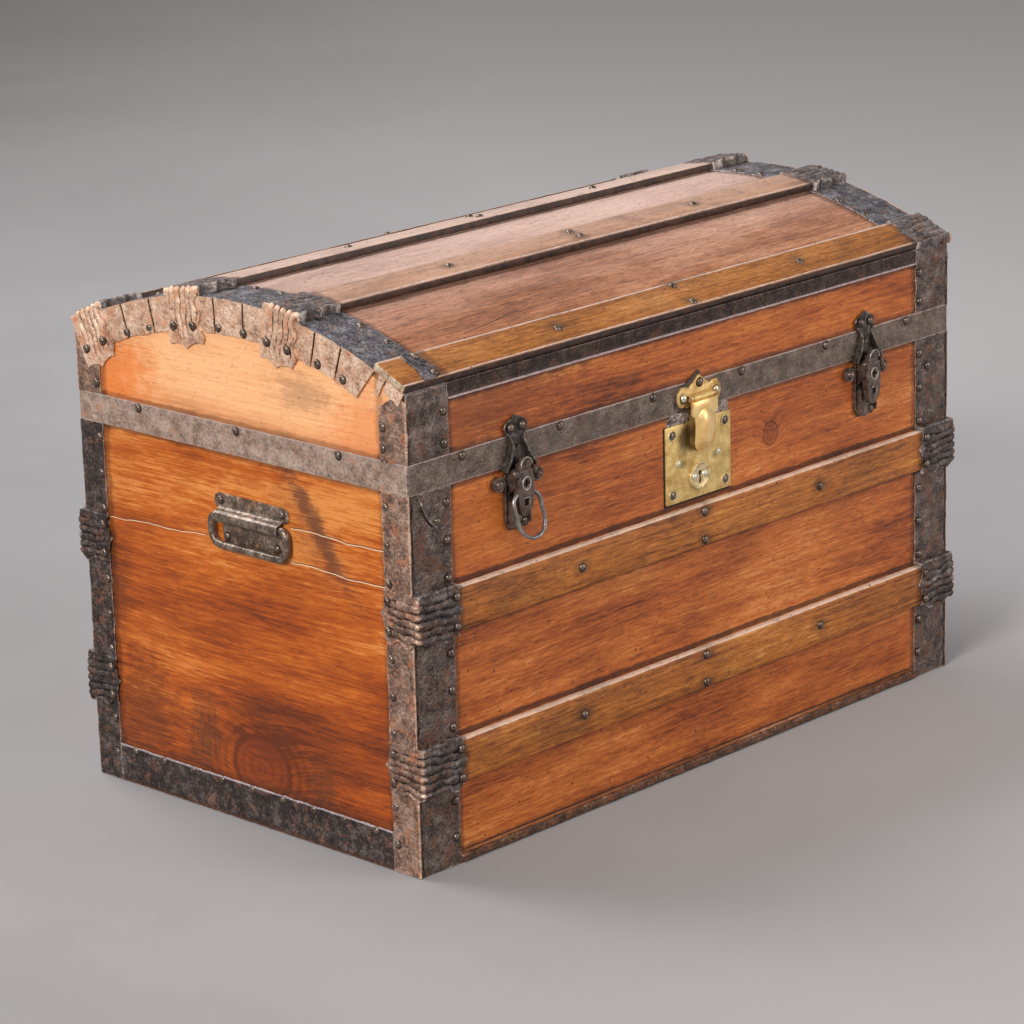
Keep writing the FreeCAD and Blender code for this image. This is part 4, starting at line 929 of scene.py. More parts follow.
def makeFlap():                 # a torn tongue of sheet below the band, beside the front left corner
    flap = sheet("frontFlap", (-0.404, -halfDepth - 0.0011, 0.346), (0.043, 0, 0), (0, 0, 0.039), (16, 14))
    tongue = [(-0.404, 0.3822), (-0.3975, 0.3672), (-0.3919, 0.3571), (-0.3827, 0.3479), (-0.374, 0.3452),
              (-0.361, 0.3520)]

    def where(co):
        share = (trunk["baseHeight"] - co.z) / 0.039
        return Vector((co.x, co.y, trunk["baseHeight"] - share * (trunk["baseHeight"] - onLine(tongue, co.x))))
    moved(flap, where)
    # painted shade: a dark copy of the flap just behind and below it
    gap = twin(flap, "flapGap", Matrix.Translation((-0.0019, 0.0008, -0.0013)))
    inIron(gap, "base", "darkGap")
    push(flap, 0.0012, lambda co: 1 - (co.z - 0.345) / 0.02)
    ironSheet(flap, 0.0006)
    inIron(flap, "base", "edgeIron")


def makeSills():
    reach = halfDepth - irons["end"]
    sill = sheet("sillIron", (-halfLength - 0.0002, reach, 0.001), (0, -2 * reach, 0), (0, 0, 0.040), (120, 14))
    push(sill, 0.0009, lambda co: (co.z - 0.033) / 0.008)
    other = twin(sill, "sillIronRight", mirrorX)
    for piece, name in ((sill, "leftSillIron"), (other, "rightSillIron")):
        dent(piece, "ragged", 0.0016, "Z", lambda co: (co.z - 0.036) / 0.005)
        ironSheet(piece)
        piece.name = name
        inIron(piece, "base", "sillIron", "end_sill_irons")
    inner = halfLength - irons["front"]
    foot = slatBar("frontFootStrip", (-inner, -halfDepth - 0.0030, 0.001), (inner, -halfDepth + 0.001, 0.010))
    soften(foot, 0.0018, 3, 50)
    other = twin(foot, "backFootStrip", mirrorY)
    for piece in (foot, other):
        dent(piece, "hammered", 0.0016, middle=0.7)
        smooth(piece, 50)
        inIron(piece, "base", "footIron", "foot_strips")


makeCornerIrons()
makeFlap()
makeSills()
print("base irons beaten")

# Band round the lid

band = {
    "bottom": 0.3853,
    "top": trunk["bandTop"],
    "ragged": (0.387, 0.414),   # its edges are uneven outside these heights
    "face": 0.2369,
    "thick": 0.0015,
    "radius": 0.0030,
}


def makeBand():
    corner = -halfLength - band["face"] + halfDepth
    bend = band["radius"]
    left = corner + bend - (band["face"] - bend + bend * math.pi / 2)
    quarter = sheet("band", (left, -band["face"], band["bottom"]), (-left, 0, 0), (0, 0, band["top"] - band["bottom"]),
                    (250, 10))
    turned(quarter, corner, -band["face"], bend)
    half = joined("band", quarter, twin(quarter, "bandTwin", mirrorX))
    ring = joined("lidBand", half, twin(half, "bandTwin", mirrorY))
    worked(ring, "VERT", anywhere, bpy.ops.mesh.remove_doubles, threshold=0.0002)
    worked(ring, "VERT", anywhere, bpy.ops.mesh.dissolve_degenerate, threshold=0.00005)
    dent(ring, "hammered", 0.0006, middle=0.4)
    low, high = band["ragged"]
    dent(ring, "ragged", 0.0008, "Z", lambda co: 0 if low <= co.z <= high else 1)
    smooth(thicken(rimmed(ring), band["thick"]), 50)
    inIron(ring, "lid", "bandIron", "lid_band")


makeBand()
print("band bent")

# Irons on the lid's corners, shoulders and dome edges

laps = {
    "depth": 0.035,
    "stand": 0.0003,
    "tilt": 0.0011,
    "edges": [(0.2120, 0.1633), (0.1630, 0.1204), (0.1200, 0.0700), (0.0700, 0.0241), (0.0238, -0.0184),
              (-0.0187, -0.0700), (-0.0700, -0.1189), (-0.1192, -0.1535)],
    "flangeIn": 0.3585,
    "slit": 0.0006,
    "thick": 0.0010,
}


def lapPlate(name, start, end, depth, lean=0.0, tilt=None):     # a plate of the arc, proud at its front side
    start, end = (domeR * math.asin(y / domeR) for y in (start, end))
    start, end = start - laps["slit"], end + laps["slit"]
    tilt = laps["tilt"] if tilt is None else tilt
    top = domeZ + domeR + 0.0004
    columns = max(8, round((start - end) / 0.0028))
    plate = sheet(name, (-halfLength - laps["stand"], start, top - depth), (0, end - start, 0), (0, 0, depth),
                  (columns, 14))

    def where(co):
        share = (start - co.y) / (start - end)
        drop = (top - co.z) / depth
        return Vector((co.x - tilt * share ** 2, co.y + lean * drop * share, co.z))
    moved(plate, where)
    dent(plate, "ragged", 0.0035, "Z", lambda co: 1 - (co.z - top + depth) / 0.010)
    dent(plate, "ragged", 0.0014, "Z", lambda co: 1 - (top - co.z) / 0.004)
    return plate


def makeLaps(side):
    plates = [lapPlate("lap", start, end, laps["depth"]) for start, end in laps["edges"]]
    plates.append(lapPlate("lap", -0.1538, -0.1985, laps["depth"] + 0.002, 0.0125, 0.0014))
    plates.append(lapPlate("lap", -0.2035, -0.2130, 0.021, 0.003))
    plates.append(lapPlate("lap", -0.2132, -0.2360, 0.014))
    plates.append(lapPlate("lap", 0.2360, 0.2100, laps["depth"]))
    whole = onSide(curl(joined("laps", *plates)), side, side + "DomeLaps")
    ironSheet(whole, 0.0013, 0.0005, laps["thick"], 50)
    inIron(whole, "lid", "lapIron", "lid_%s_dome_iron" % side)


def makeLapGap(side):           # painted shade: a dark sheet behind the slits
    start, end = (domeR * math.asin(y / domeR) for y in (0.212, -0.156))
    gap = sheet(side + "LapGap", (-halfLength + 0.0004, start, domeZ + domeR - 0.0285), (0, end - start, 0),
                (0, 0, 0.026), (120, 2))
    gap = onSide(gap, side, side + "LapGap")
    thicken(curl(gap), 0.0006)
    inIron(gap, "lid", "darkGap", "lid_%s_dome_iron" % side)


def makeDomeFlange(side):
    reach = 0.2447
    flange = sheet(side + "DomeFlange", (-halfLength, -reach, domeZ + domeR), (halfLength - laps["flangeIn"], 0, 0),
                   (0, 2 * reach, 0), (20, 160))
    dent(flange, "ragged", 0.0030, "X", lambda co: 1 - (-laps["flangeIn"] - co.x) / 0.006)
    flange = onSide(flange, side, side + "DomeFlange")
    dent(flange, "hammered", 0.0012, "Z", middle=0.35)
    dent(flange, "ragged", 0.0008, "Z", middle=0.4)
    smooth(curl(thicken(rimmed(flange), irons["sheet"])), 50)
    inIron(flange, "lid", "domeIron", "lid_%s_dome_iron" % side)


def makeLidCorners():
    low = trunk["bandTop"] - 0.001
    front = frontLeaf(low, 0.4832, "lidFrontLeaf")
    push(front, 0.0016, lambda co: 1 - abs(co.z - 0.4690) / 0.006)
    push(front, 0.0010, lambda co: 1 - abs(co.z - 0.4420) / 0.008)

    ear = [(0, 0.800), (0.45, 0.985), (0.72, 1.0), (0.93, 0.93), (1.0, 0.84)]   # from its inner edge to the corner
    end = endLeaf(low, 0.4800, "lidEndLeaf", lambda share: onLine(ear, share))
    fronts, ends = fourCorners(front, "lidFrontLeaf"), fourCorners(end, "lidEndLeaf")
    for leaves, deep, look in ((fronts, 0.0014, "edgeIron"), (ends, 0.0020, "rustIron")):
        for leaf in leaves.values():
            inIron(ironSheet(leaf, deep), "lid", look, "lid_corner_irons")
    discard(front, end)


def makeShoulders():
    inner = halfLength - irons["front"]
    strip = sheet("frontShoulder", (-inner, -halfDepth, 0.4695), (2 * inner, 0, 0), (0, 0, 0.0155), (220, 12))
    push(strip, 0.0018, lambda co: 1 - (co.z - 0.4695) / 0.0035)
    other = twin(strip, "backShoulder", mirrorY)
    for piece in (strip, other):
        dent(piece, "ragged", 0.0009, "Z", lambda co: 1 - (co.z - 0.4695) / 0.004)
        ironSheet(piece, 0.0010)
        inIron(piece, "lid", "shoulderIron", "lid_shoulder_irons")


for side in ("left", "right"):
    makeLaps(side)
    makeLapGap(side)
    makeDomeFlange(side)
makeLidCorners()
makeShoulders()
print("lid irons beaten")

# Clamps over the slat ends, folded like cloth

clamps = {
    "face": 0.0112,             # how far the iron stands out over a slat, and on the end
    "lidFace": 0.0101,
    "endFace": 0.0036,
    "pitch": 0.0082,
    "ridge": 0.0031,
    "frontReach": 0.0568,
    "cell": 0.0014,
    "lidEdge": 0.2403,
}


def clampPiece(name, endReach, half, seed, face="face"):
    cornerX = -halfLength - clamps["endFace"] + clamps["ridge"]
    cornerY = -halfDepth - clamps[face] + clamps["ridge"]
    left = cornerX - endReach
    width = endReach + clamps["frontReach"]
    depths = []
    piece = sheet(name, (left, cornerY, -half), (width, 0, 0), (0, 0, 2 * half),
                  (round(width / clamps["cell"]), round(2 * half / clamps["cell"])))

    def where(co):
        s, t = co.x - cornerX, co.z
        reach = endReach if s < 0 else clamps["frontReach"]
        share = abs(s) / reach
        spot = Vector((s * 60 + seed, t * 90, seed))
        wander = noise.noise(spot) * 0.0032
        fan = 0.22 * abs(s) * (0.6 - t / half) * 0.5 if s < 0 else -0.07 * s
        folded = abs(math.sin(math.pi * (t - fan + wander) / clamps["pitch"])) ** 0.5
        calm = min(1.0, max(0.0, (1 - share) / 0.20)) * min(1.0, max(0.0, (half * 0.82 - t) / 0.004))
        height = clamps["ridge"] * (folded * calm + (1 - calm) * 0.38)
        depths.append(folded * calm + (1 - calm) * 0.8)
        lobes = 0.0015 * math.cos(t / half * 4.6) + 0.0034 * max(0.0, 1 - abs(t - 0.001) / 0.0042)
        edge = 1 + (lobes - 0.0015) / reach * share ** 3
        foot = 0.0018 * math.sin(s * 260 + seed) * (abs(t) / half) ** 6 * (0.4 if t > 0 else 1)
        return Vector((cornerX + s * edge, cornerY - height, t + foot * (-1 if t < 0 else 1) - foot * 0.5))
    moved(piece, where)
    turned(piece, cornerX, cornerY, 0.0012)
    dent(piece, "pitted", 0.0004)
    fold = piece.data.attributes.new("fold", "FLOAT", "POINT")
    fold.data.foreach_set("value", depths)
    pick(piece, "EDGE", lambda a, b: False)
    bpy.ops.mesh.select_non_manifold()
    bpy.ops.mesh.extrude_region_move(TRANSFORM_OT_translate={"value": (0, 0, 0)})
    objectMode()
    for vert in piece.data.vertices:
        if vert.select:
            vert.co.x = max(vert.co.x, -halfLength + 0.0002)
            vert.co.y = max(vert.co.y, -halfDepth + 0.0002)
    smooth(piece, 65)
    return piece


def makeClamps():
    plain = clampPiece("clampModel", 0.0460, 0.0252, 3.0)
    second = clampPiece("clampModel", 0.0460, 0.0252, 11.0)
    for side, look, turn in (("front", "clampIron", still), ("back", "backClampIron", mirrorY)):
        copies = [twin(model, "clamp", turn @ flip @ Matrix.Translation((0, 0, level)))
                  for level, model in zip(trunk["slatLevels"], (plain, second)) for flip in (still, mirrorX)]
        handOver(joined(side + "SlatClamps", *copies), "base", "clamp_iron", look, side + "_slat_clamps")
    stand = Matrix(((1, 0, 0, 0), (0, 0, 1, 0), (0, -1, 0, domeZ + domeR - halfDepth), (0, 0, 0, 1)))
    domeModel = clampPiece("clampModel", 0.0560, 0.0240, 19.0, "lidFace")
    otherModel = clampPiece("clampModel", 0.0560, 0.0240, 27.0, "lidFace")
    copies = []
    for index, offset in enumerate(trunk["domeSlats"]):
        for flip in (still, mirrorX):
            if index == 0 and flip == still:
                continue            # the front shoulder slat is bare at its left end
            model = domeModel if index % 2 else otherModel
            copy = twin(model, "clamp", flip @ rolled(offset) @ stand)
            side = math.copysign(1, offset)
            if index in (0, 3):     # the shoulder clamps end where the lid's sides do
                moved(copy, lambda co: Vector((co.x, side * min(side * co.y, clamps["lidEdge"]), co.z)))
            copies.append(copy)
    handOver(joined("lidSlatClamps", *copies), "lid", "clamp_iron", "lidClampIron", "lid_slat_clamps")
    discard(plain, second, domeModel, otherModel)


makeClamps()
print("clamps folded")

# Nails: one head, copied to every place the model keeps for a nail

nailHead = {
    "radius": 0.0042,
    "rise": 0.0029,
    "endX": 0.41,               # heads beyond it are on the ends
    "domeZ": 0.478,             # heads above it are on the dome
}


def nailModel(radius, rise):
    bpy.ops.mesh.primitive_uv_sphere_add(segments=14, ring_count=12, radius=1)
    head = trimmed(added("nailModel"), (0, 0, 0.08), (0, 0, -1))
    head.data.transform(Matrix.Diagonal((radius, radius, rise / 0.92, 1)) @ Matrix.Translation((0, 0, -0.08)))
    return smooth(head, 60)


def lifted(at, facing, radial):     # how far a head is raised to stand proud of the bent plates
    if abs(at.x) > nailHead["endX"]:
        return 0.0013 if at.z > 0.42 else 0.0010
    if at.z < nailHead["domeZ"] and at.y < 0 and not facing:
        return 0.0013 if at.z > 0.400 else 0.0017 if abs(at.x) > trunk["flange"] else 0.0009
    return 0.0006 if radial else 0.0


def drivenHeads(node, model, name, facing=None):
    heads = []
    for points in islands(node):
        low, high = (Vector(corner) for corner in boxOf(points))
        middle = (low + high) / 2
        radial = Vector((0, middle.y, middle.z - domeZ)).normalized()
        axes = [Vector((math.copysign(1, middle.x), 0, 0)), Vector((0, math.copysign(1, middle.y), 0)), radial]
        if middle.z < 0.48:
            axes = axes[:2]
        reach = [max(p.dot(axis) for p in points) - min(p.dot(axis) for p in points) for axis in axes]
        axis = facing or axes[reach.index(max(reach))]
        outer = max(p.dot(axis) for p in points)
        near = [p for p in points if p.dot(axis) > outer - 0.0035]
        centre = sum(near, Vector()) / len(near)
        centre += axis * (outer - model["rise"] - centre.dot(axis))
        centre += axis * lifted(centre, facing, axis is radial)
        turn = Vector((0, 0, 1)).rotation_difference(axis).to_matrix().to_4x4()
        tilt = Matrix.Rotation(noise.noise(centre * 300) * 0.16, 4, "X")
        heads.append(twin(model["head"], "head", Matrix.Translation(centre) @ turn @ tilt))
        x, y, z = centre
        if node == "lid_nails" and abs(x) > nailHead["endX"] and y < -0.19 and 0.42 < z < 0.445:
            heads.append(twin(heads[-1], "head", Matrix.Translation((0, 0, 0.0215))))   # a second nail in the ear
        if node == "base_nails" and 0.36 < abs(x) < 0.37 and y < -0.23 and 0.36 < z < 0.38:
            inLeaf = Matrix.Translation((math.copysign(0.0138, x), -0.0006, -0.0162))
            heads.append(twin(heads[-1], "head", inLeaf))       # and one in the torn leaf
    return joined(name, *heads)


def makeNails():
    nailHead["head"] = nailModel(nailHead["radius"], nailHead["rise"])
    # a dark disc under each head: soot and a painted shade round the nail
    mark = {"head": nailModel(nailHead["radius"] * 1.24, 0.0006), "rise": nailHead["rise"]}
    for node, name, body in (("base_nails", "baseNails", "base"), ("lid_nails", "lidNails", "lid"),
                             ("handle_nails", "handleNails", "base")):
        heads = drivenHeads(node, nailHead, name)
        handOver(heads, body, "nail_steel", "nailSteel brightRivet", node)
        for face in heads.data.polygons:        # the crown plate's side nails are polished
            x, y, z = face.center
            face.material_index = int(node == "lid_nails" and 0.012 < abs(x) < 0.045 and y < -0.235 and z < 0.412)
        marks = drivenHeads(node, mark, name + "Marks")
        marks.data.transform(Matrix.Translation((0, 0, -0.0006)))
        handOver(marks, body, "nail_steel", "nailSoot")
    discard(nailHead["head"], mark["head"])


makeNails()
print("nails driven")

# Cut plates and bent wire for the hardware

frontView = Matrix(((1, 0, 0, 0), (0, 0, -1, 0), (0, 1, 0, 0), (0, 0, 0, 1)))   # from x and z, rises to the front
endView = Matrix(((0, 0, -1, 0), (-1, 0, 0, 0), (0, 1, 0, 0), (0, 0, 0, 1)))    # from -y and z, rises to the left
sideView = Matrix(((0, 0, 1, 0), (1, 0, 0, 0), (0, 1, 0, 0), (0, 0, 0, 1)))     # from y and z


def millimetres(points):
    return [(u / 1000, v / 1000) for u, v in points]


def bothSides(half):            # a half outline from the top to the foot, and its reflection
    return list(half) + [(-u, v) for u, v in reversed(half) if u > 1e-6]


def eased(outline, reach):      # rounds an outline's corners
    points, steps = [], 3
    for i, here in enumerate(outline):
        here = Vector(here)
        arms = [Vector(outline[i - 1]) - here, Vector(outline[(i + 1) % len(outline)]) - here]
        start, end = (here + arm.normalized() * min(reach, arm.length * 0.45) for arm in arms)
        for k in range(steps + 1):
            t = k / steps
            points.append(start * (1 - t) ** 2 + here * 2 * t * (1 - t) + end * t * t)
    return points


def bow(wide, high, u, v, degrees):     # points of an oval at some angles
    return [(u + wide * math.cos(math.radians(d)), v + high * math.sin(math.radians(d))) for d in degrees]


def circle(radius, u, v, count=24):
    return bow(radius, radius, u, v, [360 * i / count for i in range(count)])


def cutPlate(name, outline, low, high, edge=0.0, crown=(), view=None):
    bpy.ops.mesh.primitive_circle_add(vertices=len(outline), radius=0.01, fill_type="NGON")
    piece = added(name)
    for vert, (u, v) in zip(piece.data.vertices, outline):
        vert.co = (u, v, low)
    pick(piece, "FACE", anywhere)
    bpy.ops.mesh.extrude_region_move(TRANSFORM_OT_translate={"value": (0, 0, high - low)})
    bpy.ops.mesh.select_all(action="SELECT")
    bpy.ops.mesh.normals_make_consistent(inside=False)
    if crown:
        pick(piece, "FACE", lambda at, n: n.z > 0.9)
        for inset, rise in crown:
            bpy.ops.mesh.inset(thickness=inset, depth=rise)
    objectMode()
    if edge:
        soften(piece, edge, 2, 45)
    if view:
        piece.data.transform(view)
    return smooth(piece, 35)


def cutOut(piece, cutter):
    change(piece, "BOOLEAN", object=cutter, operation="DIFFERENCE", solver="EXACT")
    discard(cutter)
    return piece


def wireLoop(name, path, radius, normal, sides=12):     # a round wire that follows a closed path
    bpy.ops.mesh.primitive_torus_add(major_segments=len(path), minor_segments=sides, major_radius=0.02,
                                     minor_radius=0.001)
    piece = added(name)
    normal = Vector(normal)
    for i, here in enumerate(path):
        tangent = (path[(i + 1) % len(path)] - path[i - 1]).normalized()
        out = tangent.cross(normal)
        for j in range(sides):
            angle = 2 * math.pi * j / sides
            piece.data.vertices[i * sides + j].co = here + radius * (out * math.cos(angle) + normal * math.sin(angle))
    return smooth(outward(piece), 60)


def roundPath(half, top, bottom, upper, lower, place, count):     # a rectangle with round corners
    corners = []
    for u, v, bend, first in ((half, top, upper, 90), (half, bottom, lower, 0), (-half, bottom, lower, -90),
                              (-half, top, upper, -180)):
        middle = Vector((u - math.copysign(bend, u), v - (bend if v == top else -bend)))
        corners += [middle + bend * Vector(turn) for turn in bow(1, 1, 0, 0, range(first, first - 91, -10))]
    lengths = [(corners[(i + 1) % len(corners)] - corners[i]).length for i in range(len(corners))]
    step = sum(lengths) / count
    points = []
    i, walked = 0, 0.0
    for k in range(count):
        while walked + lengths[i] < k * step:
            walked += lengths[i]
            i += 1
        share = (k * step - walked) / lengths[i]
        spot = corners[i].lerp(corners[(i + 1) % len(corners)], share)
        points.append(place(spot.x, spot.y))
    return points


def ringRim(name, radius, wire, at, stretch=1.0):
    bpy.ops.mesh.primitive_torus_add(major_segments=28, minor_segments=8, major_radius=radius, minor_radius=wire)
    piece = added(name)
    piece.data.transform(frontView @ Matrix.Translation(at) @ Matrix.Diagonal((1, stretch, 1, 1)))
    return smooth(piece, 60)


# Lock, escutcheon and hasp

lock = {
    "half": 0.0505,
    "low": 0.292,
    "high": 0.3736,
    "back": 0.2353,
    "face": 0.2371,
    "keyZ": 0.3148,
    "axisZ": 0.399,
    "axisY": -0.24285,
    "barrel": 0.0036,
}


def makeLock():
    half, low, high = lock["half"], lock["low"], lock["high"]
    outline = eased([(-half, high), (half, high), (half, low), (-half, low)], 0.002)
    plate = cutPlate("lockPlate", outline, lock["back"], lock["face"], 0.0006, view=frontView)
    handOver(plate, "base", "brass", "lockBrass", "lock_plate")
    # painted shade: a dark lining that shows left of and below the plate
    lining = eased([(-half - 0.0022, high + 0.0006), (half + 0.0006, high + 0.0006), (half + 0.0006, low - 0.0024),
                    (-half - 0.0022, low - 0.0024)], 0.002)
    handOver(cutPlate("lockLining", lining, lock["back"] - 0.002, lock["back"] + 0.0003, view=frontView),
             "base", "hardware_iron", "darkGap")
    key = lock["keyZ"]
    shape = millimetres([(2, 14.2), (7, 13.5), (12, 8), (16, 3), (15, -5), (10, -10.5), (5, -14), (-5, -14),
                         (-11, -10), (-16, -3), (-15, 4), (-10, 9), (-5, 13.5)])
    shape = eased([(u, v + key) for u, v in shape], 0.003)
    guard = cutPlate("escutcheon", shape, lock["face"] - 0.0004, 0.2396, 0.0006,
                     crown=[(0.0022, 0), (0.0005, -0.0009)])
    hole = bow(0.0025, 0.0025, 0, key + 0.003, range(-420, -119, 20))
    hole += [(-0.0013, key - 0.0085), (0.0013, key - 0.0085)]
    cutOut(guard, cutPlate("keyCutter", hole, 0.236, 0.242))
    guard.data.transform(frontView)
    handOver(smooth(guard, 35), "base", "brass", "paleBrass", "lock_escutcheon")
    shade = cutPlate("keyholeShade", [(-0.004, key + 0.007), (0.004, key + 0.007), (0.004, key - 0.009),
                                      (-0.004, key - 0.009)], 0.2368, 0.2374, view=frontView)
    handOver(shade, "base", "brass", "darkGap", "lock_escutcheon")
    forward = Vector((0, -1, 0))
    screw = {"head": nailModel(0.0051, 0.0030), "rise": 0.0030}
    screws = drivenHeads("lock_screws", screw, "lockScrews", forward)
    rims = [ringRim("rim", 0.0054, 0.0009, (x, z, lock["face"] + 0.0002))
            for x in (-0.041, 0.041) for z in (0.3015, 0.3641)]
    handOver(screws, "base", "nail_steel", "nailSteel", "lock_screws")
    handOver(joined("lockScrewRims", *rims), "base", "brass", "paleBrass")
    rivet = {"head": nailModel(0.0044, 0.0032), "rise": 0.0032}
    rivets = drivenHeads("lock_rivets", rivet, "lockRivets", forward)
    handOver(rivets, "base", "brass", "brightRivet", "lock_rivets")
    discard(screw["head"], rivet["head"])


def barrelRod(name, x, wide, sides):
    bpy.ops.mesh.primitive_cylinder_add(vertices=sides, radius=lock["barrel"], depth=wide,
                                        location=(x, lock["axisY"], lock["axisZ"]), rotation=(0, math.pi / 2, 0))
    return settle(added(name))


def makeHasp():
    half = millimetres([(0, 421.5), (9, 414.4), (16.5, 409.2), (20, 411.5), (27, 411.8), (33, 405.5), (34, 398),
                        (30.5, 391.5), (25, 390.2), (20.6, 392.6), (20, 389), (0, 389)])
    crown = cutPlate("haspCrown", eased(bothSides(half), 0.0012), 0.2369, 0.2392, 0.0006, view=frontView)
    axis = lock["axisZ"]
    barrels = []
    for x in (-0.0170, 0.0170):
        barrel = soften(barrelRod("barrel", x, 0.0052, 20), 0.0005)
        web = block("web", (x - 0.0026, lock["axisY"], axis), (x + 0.0026, -0.2385, axis + 0.0036), 0.0004)
        barrels += [barrel, web]
    crown = joined("haspCrown", crown, *barrels)
    # painted shadow: a dark sheet beside the crown's left side and above its left shoulder
    soot = millimetres([(-38, 398), (-37, 391), (-31, 385.8), (-18, 385.6), (-16, 392), (-28, 394), (-30, 404),
                        (-20, 408), (-9, 411), (0, 418), (4, 420), (3, 424.6), (0, 426), (-10, 419.2), (-20, 414.6),
                        (-29, 414.2), (-36.5, 407)])
    soot = cutPlate("haspShadow", eased(soot, 0.002), 0.2362, 0.2372, view=frontView)
    inIron(soot, "lid", "sootSmear")
    lip = cutPlate("lockLip", millimetres([(-48, 373.4), (49, 373.4), (47, 384.8), (-46, 384.8)]), 0.2345, 0.2360,
                   0.0004, view=frontView)
    inIron(lip, "base", "edgeIron")
    handOver(smooth(crown, 35), "lid", "brass", "crownBrass", "hasp_crown", "hasp_pin")

    foot, wide = 0.340, 0.0155
    top = 0.3868
    side = [(0, top), (wide, top)] + bow(wide, wide, 0, foot + wide, range(0, -91, -9))
    tongue = sheet("tongue", (-1, 0, 0), (2, 0, 0), (0, 1, 0), (22, 40))

    def where(co):              # a shield with a round foot and a full middle
        z = foot + (top - foot) * co.y ** 1.8
        half = math.sqrt(max(wide ** 2 - max(foot + wide - z, 0.0) ** 2, 0.0))
        full = (1 - co.x ** 2) * min(1.0, (z - foot) / 0.012)
        belly = 0.0028 * math.sin(math.pi * min(1.0, max(0.0, (top - z) / 0.044)) ** 0.8)
        return Vector((co.x * half, z, 0.2446 + 0.0030 * full + belly))
    moved(tongue, where)
    worked(tongue, "VERT", anywhere, bpy.ops.mesh.remove_doubles, threshold=0.00002)
    thicken(tongue, 0.0018)
    soften(tongue, 0.0006, 2, 50)
    head = cutPlate("head", eased(bothSides(millimetres([(0, 396.2), (19.4, 396.2), (19.4, 382), (17.4, 379.6),
                                                        (14.0, 379.6), (0, 379.6)])), 0.0008),
                    0.2440, 0.2476, 0.0006)
    for part in (tongue, head):
        part.data.transform(frontView)
    roll = barrelRod("roll", 0, 0.0284, 24)
    strap = block("strap", (-0.0140, -0.2450, 0.3945), (0.0140, -0.2430, axis), 0.0003)
    handOver(joined("haspRoll", roll, strap), "hasp", "brass", "lockBrass", "hasp_tongue")
    tongue = joined("haspTongue", tongue, head)
    handOver(smooth(tongue, 35), "hasp", "brass", "tongueBrass", "hasp_tongue")
    # painted shade: a dark block filling the hollow behind the tongue
    hollow = cutPlate("haspHollow", eased([(u * 0.9, v + 0.0008) for u, v in bothSides(side)], 0.001), 0.2373, 0.2442,
                      view=frontView)
    handOver(hollow, "hasp", "brass", "dullBrass")


makeLock()
makeHasp()
print("lock and hasp fitted")

# Lever latches, made at x = 0 and copied to both places

latch = {
    "places": {"left": -0.270, "right": 0.270},
    "bossX": 0.0270,
    "bossZ": 0.3710,
    "back": 0.2438,
    "face": 0.2515,
    "crossZ": 0.3690,
    "squareZ": 0.3500,
    "earY": -0.2485,
    "earZ": 0.3800,
    "barY": -0.2488,            # the ring's bar in the left lever
    "barZ": 0.3586,
    "tip": (0.16, 0.346, 0.249),        # the face's slope, from which height down and above which depth
    "lean": 10,                 # the ring's lean and sway in degrees
    "sway": 7,
}


def flangeWall(name, points, heights, low, thick):      # a wall that stands on a curve drawn in x and z
    bpy.ops.mesh.primitive_grid_add(x_subdivisions=4 * (len(points) - 1), y_subdivisions=4, size=1)
    piece = added(name)
    path = [(u, v, rise) for (u, v), rise in zip(points, heights)]

    def where(co):
        u, v, rise = along(path, co.x + 0.5)
        return Vector((u, v, low + rise * (co.y + 0.5)))
    moved(piece, where)
    thicken(piece, thick, 0)
    soften(piece, 0.0005, 2, 50)
    piece.data.transform(frontView)
    return smooth(piece, 40)


def makeCatch():
    half = millimetres([(0, 436.4), (4, 433.2), (9, 431.2), (14.5, 428.4), (16.6, 424.2), (14.6, 419.6), (10.6, 415.4),
                        (8.8, 411), (9.2, 405), (11.8, 398), (16, 391), (20.4, 385), (20.8, 382.4), (0, 382.4)])
    floor = cutPlate("catch", eased(bothSides(half), 0.0022), 0.2369, 0.2391, 0.0006, crown=[(0.0012, -0.0005)])
    hole = cutPlate("hole", circle(0.0020, 0, 0.404, 14), 0.236, 0.242)
    cutOut(floor, hole)
    floor.data.transform(frontView)
    curve = millimetres([(13.2, 418.6), (9.6, 413.5), (8.6, 408.5), (10.2, 401.6), (13.9, 394.3), (18.4, 387.6),
                         (20.6, 382.4)])
    heights = [0.0026, 0.0042, 0.0068, 0.0086, 0.0096, 0.0098, 0.0092]
    right = flangeWall("flange", curve, heights, 0.2370, 0.0020)
    return joined("catchModel", floor, right, twin(right, "flange", mirrorX))


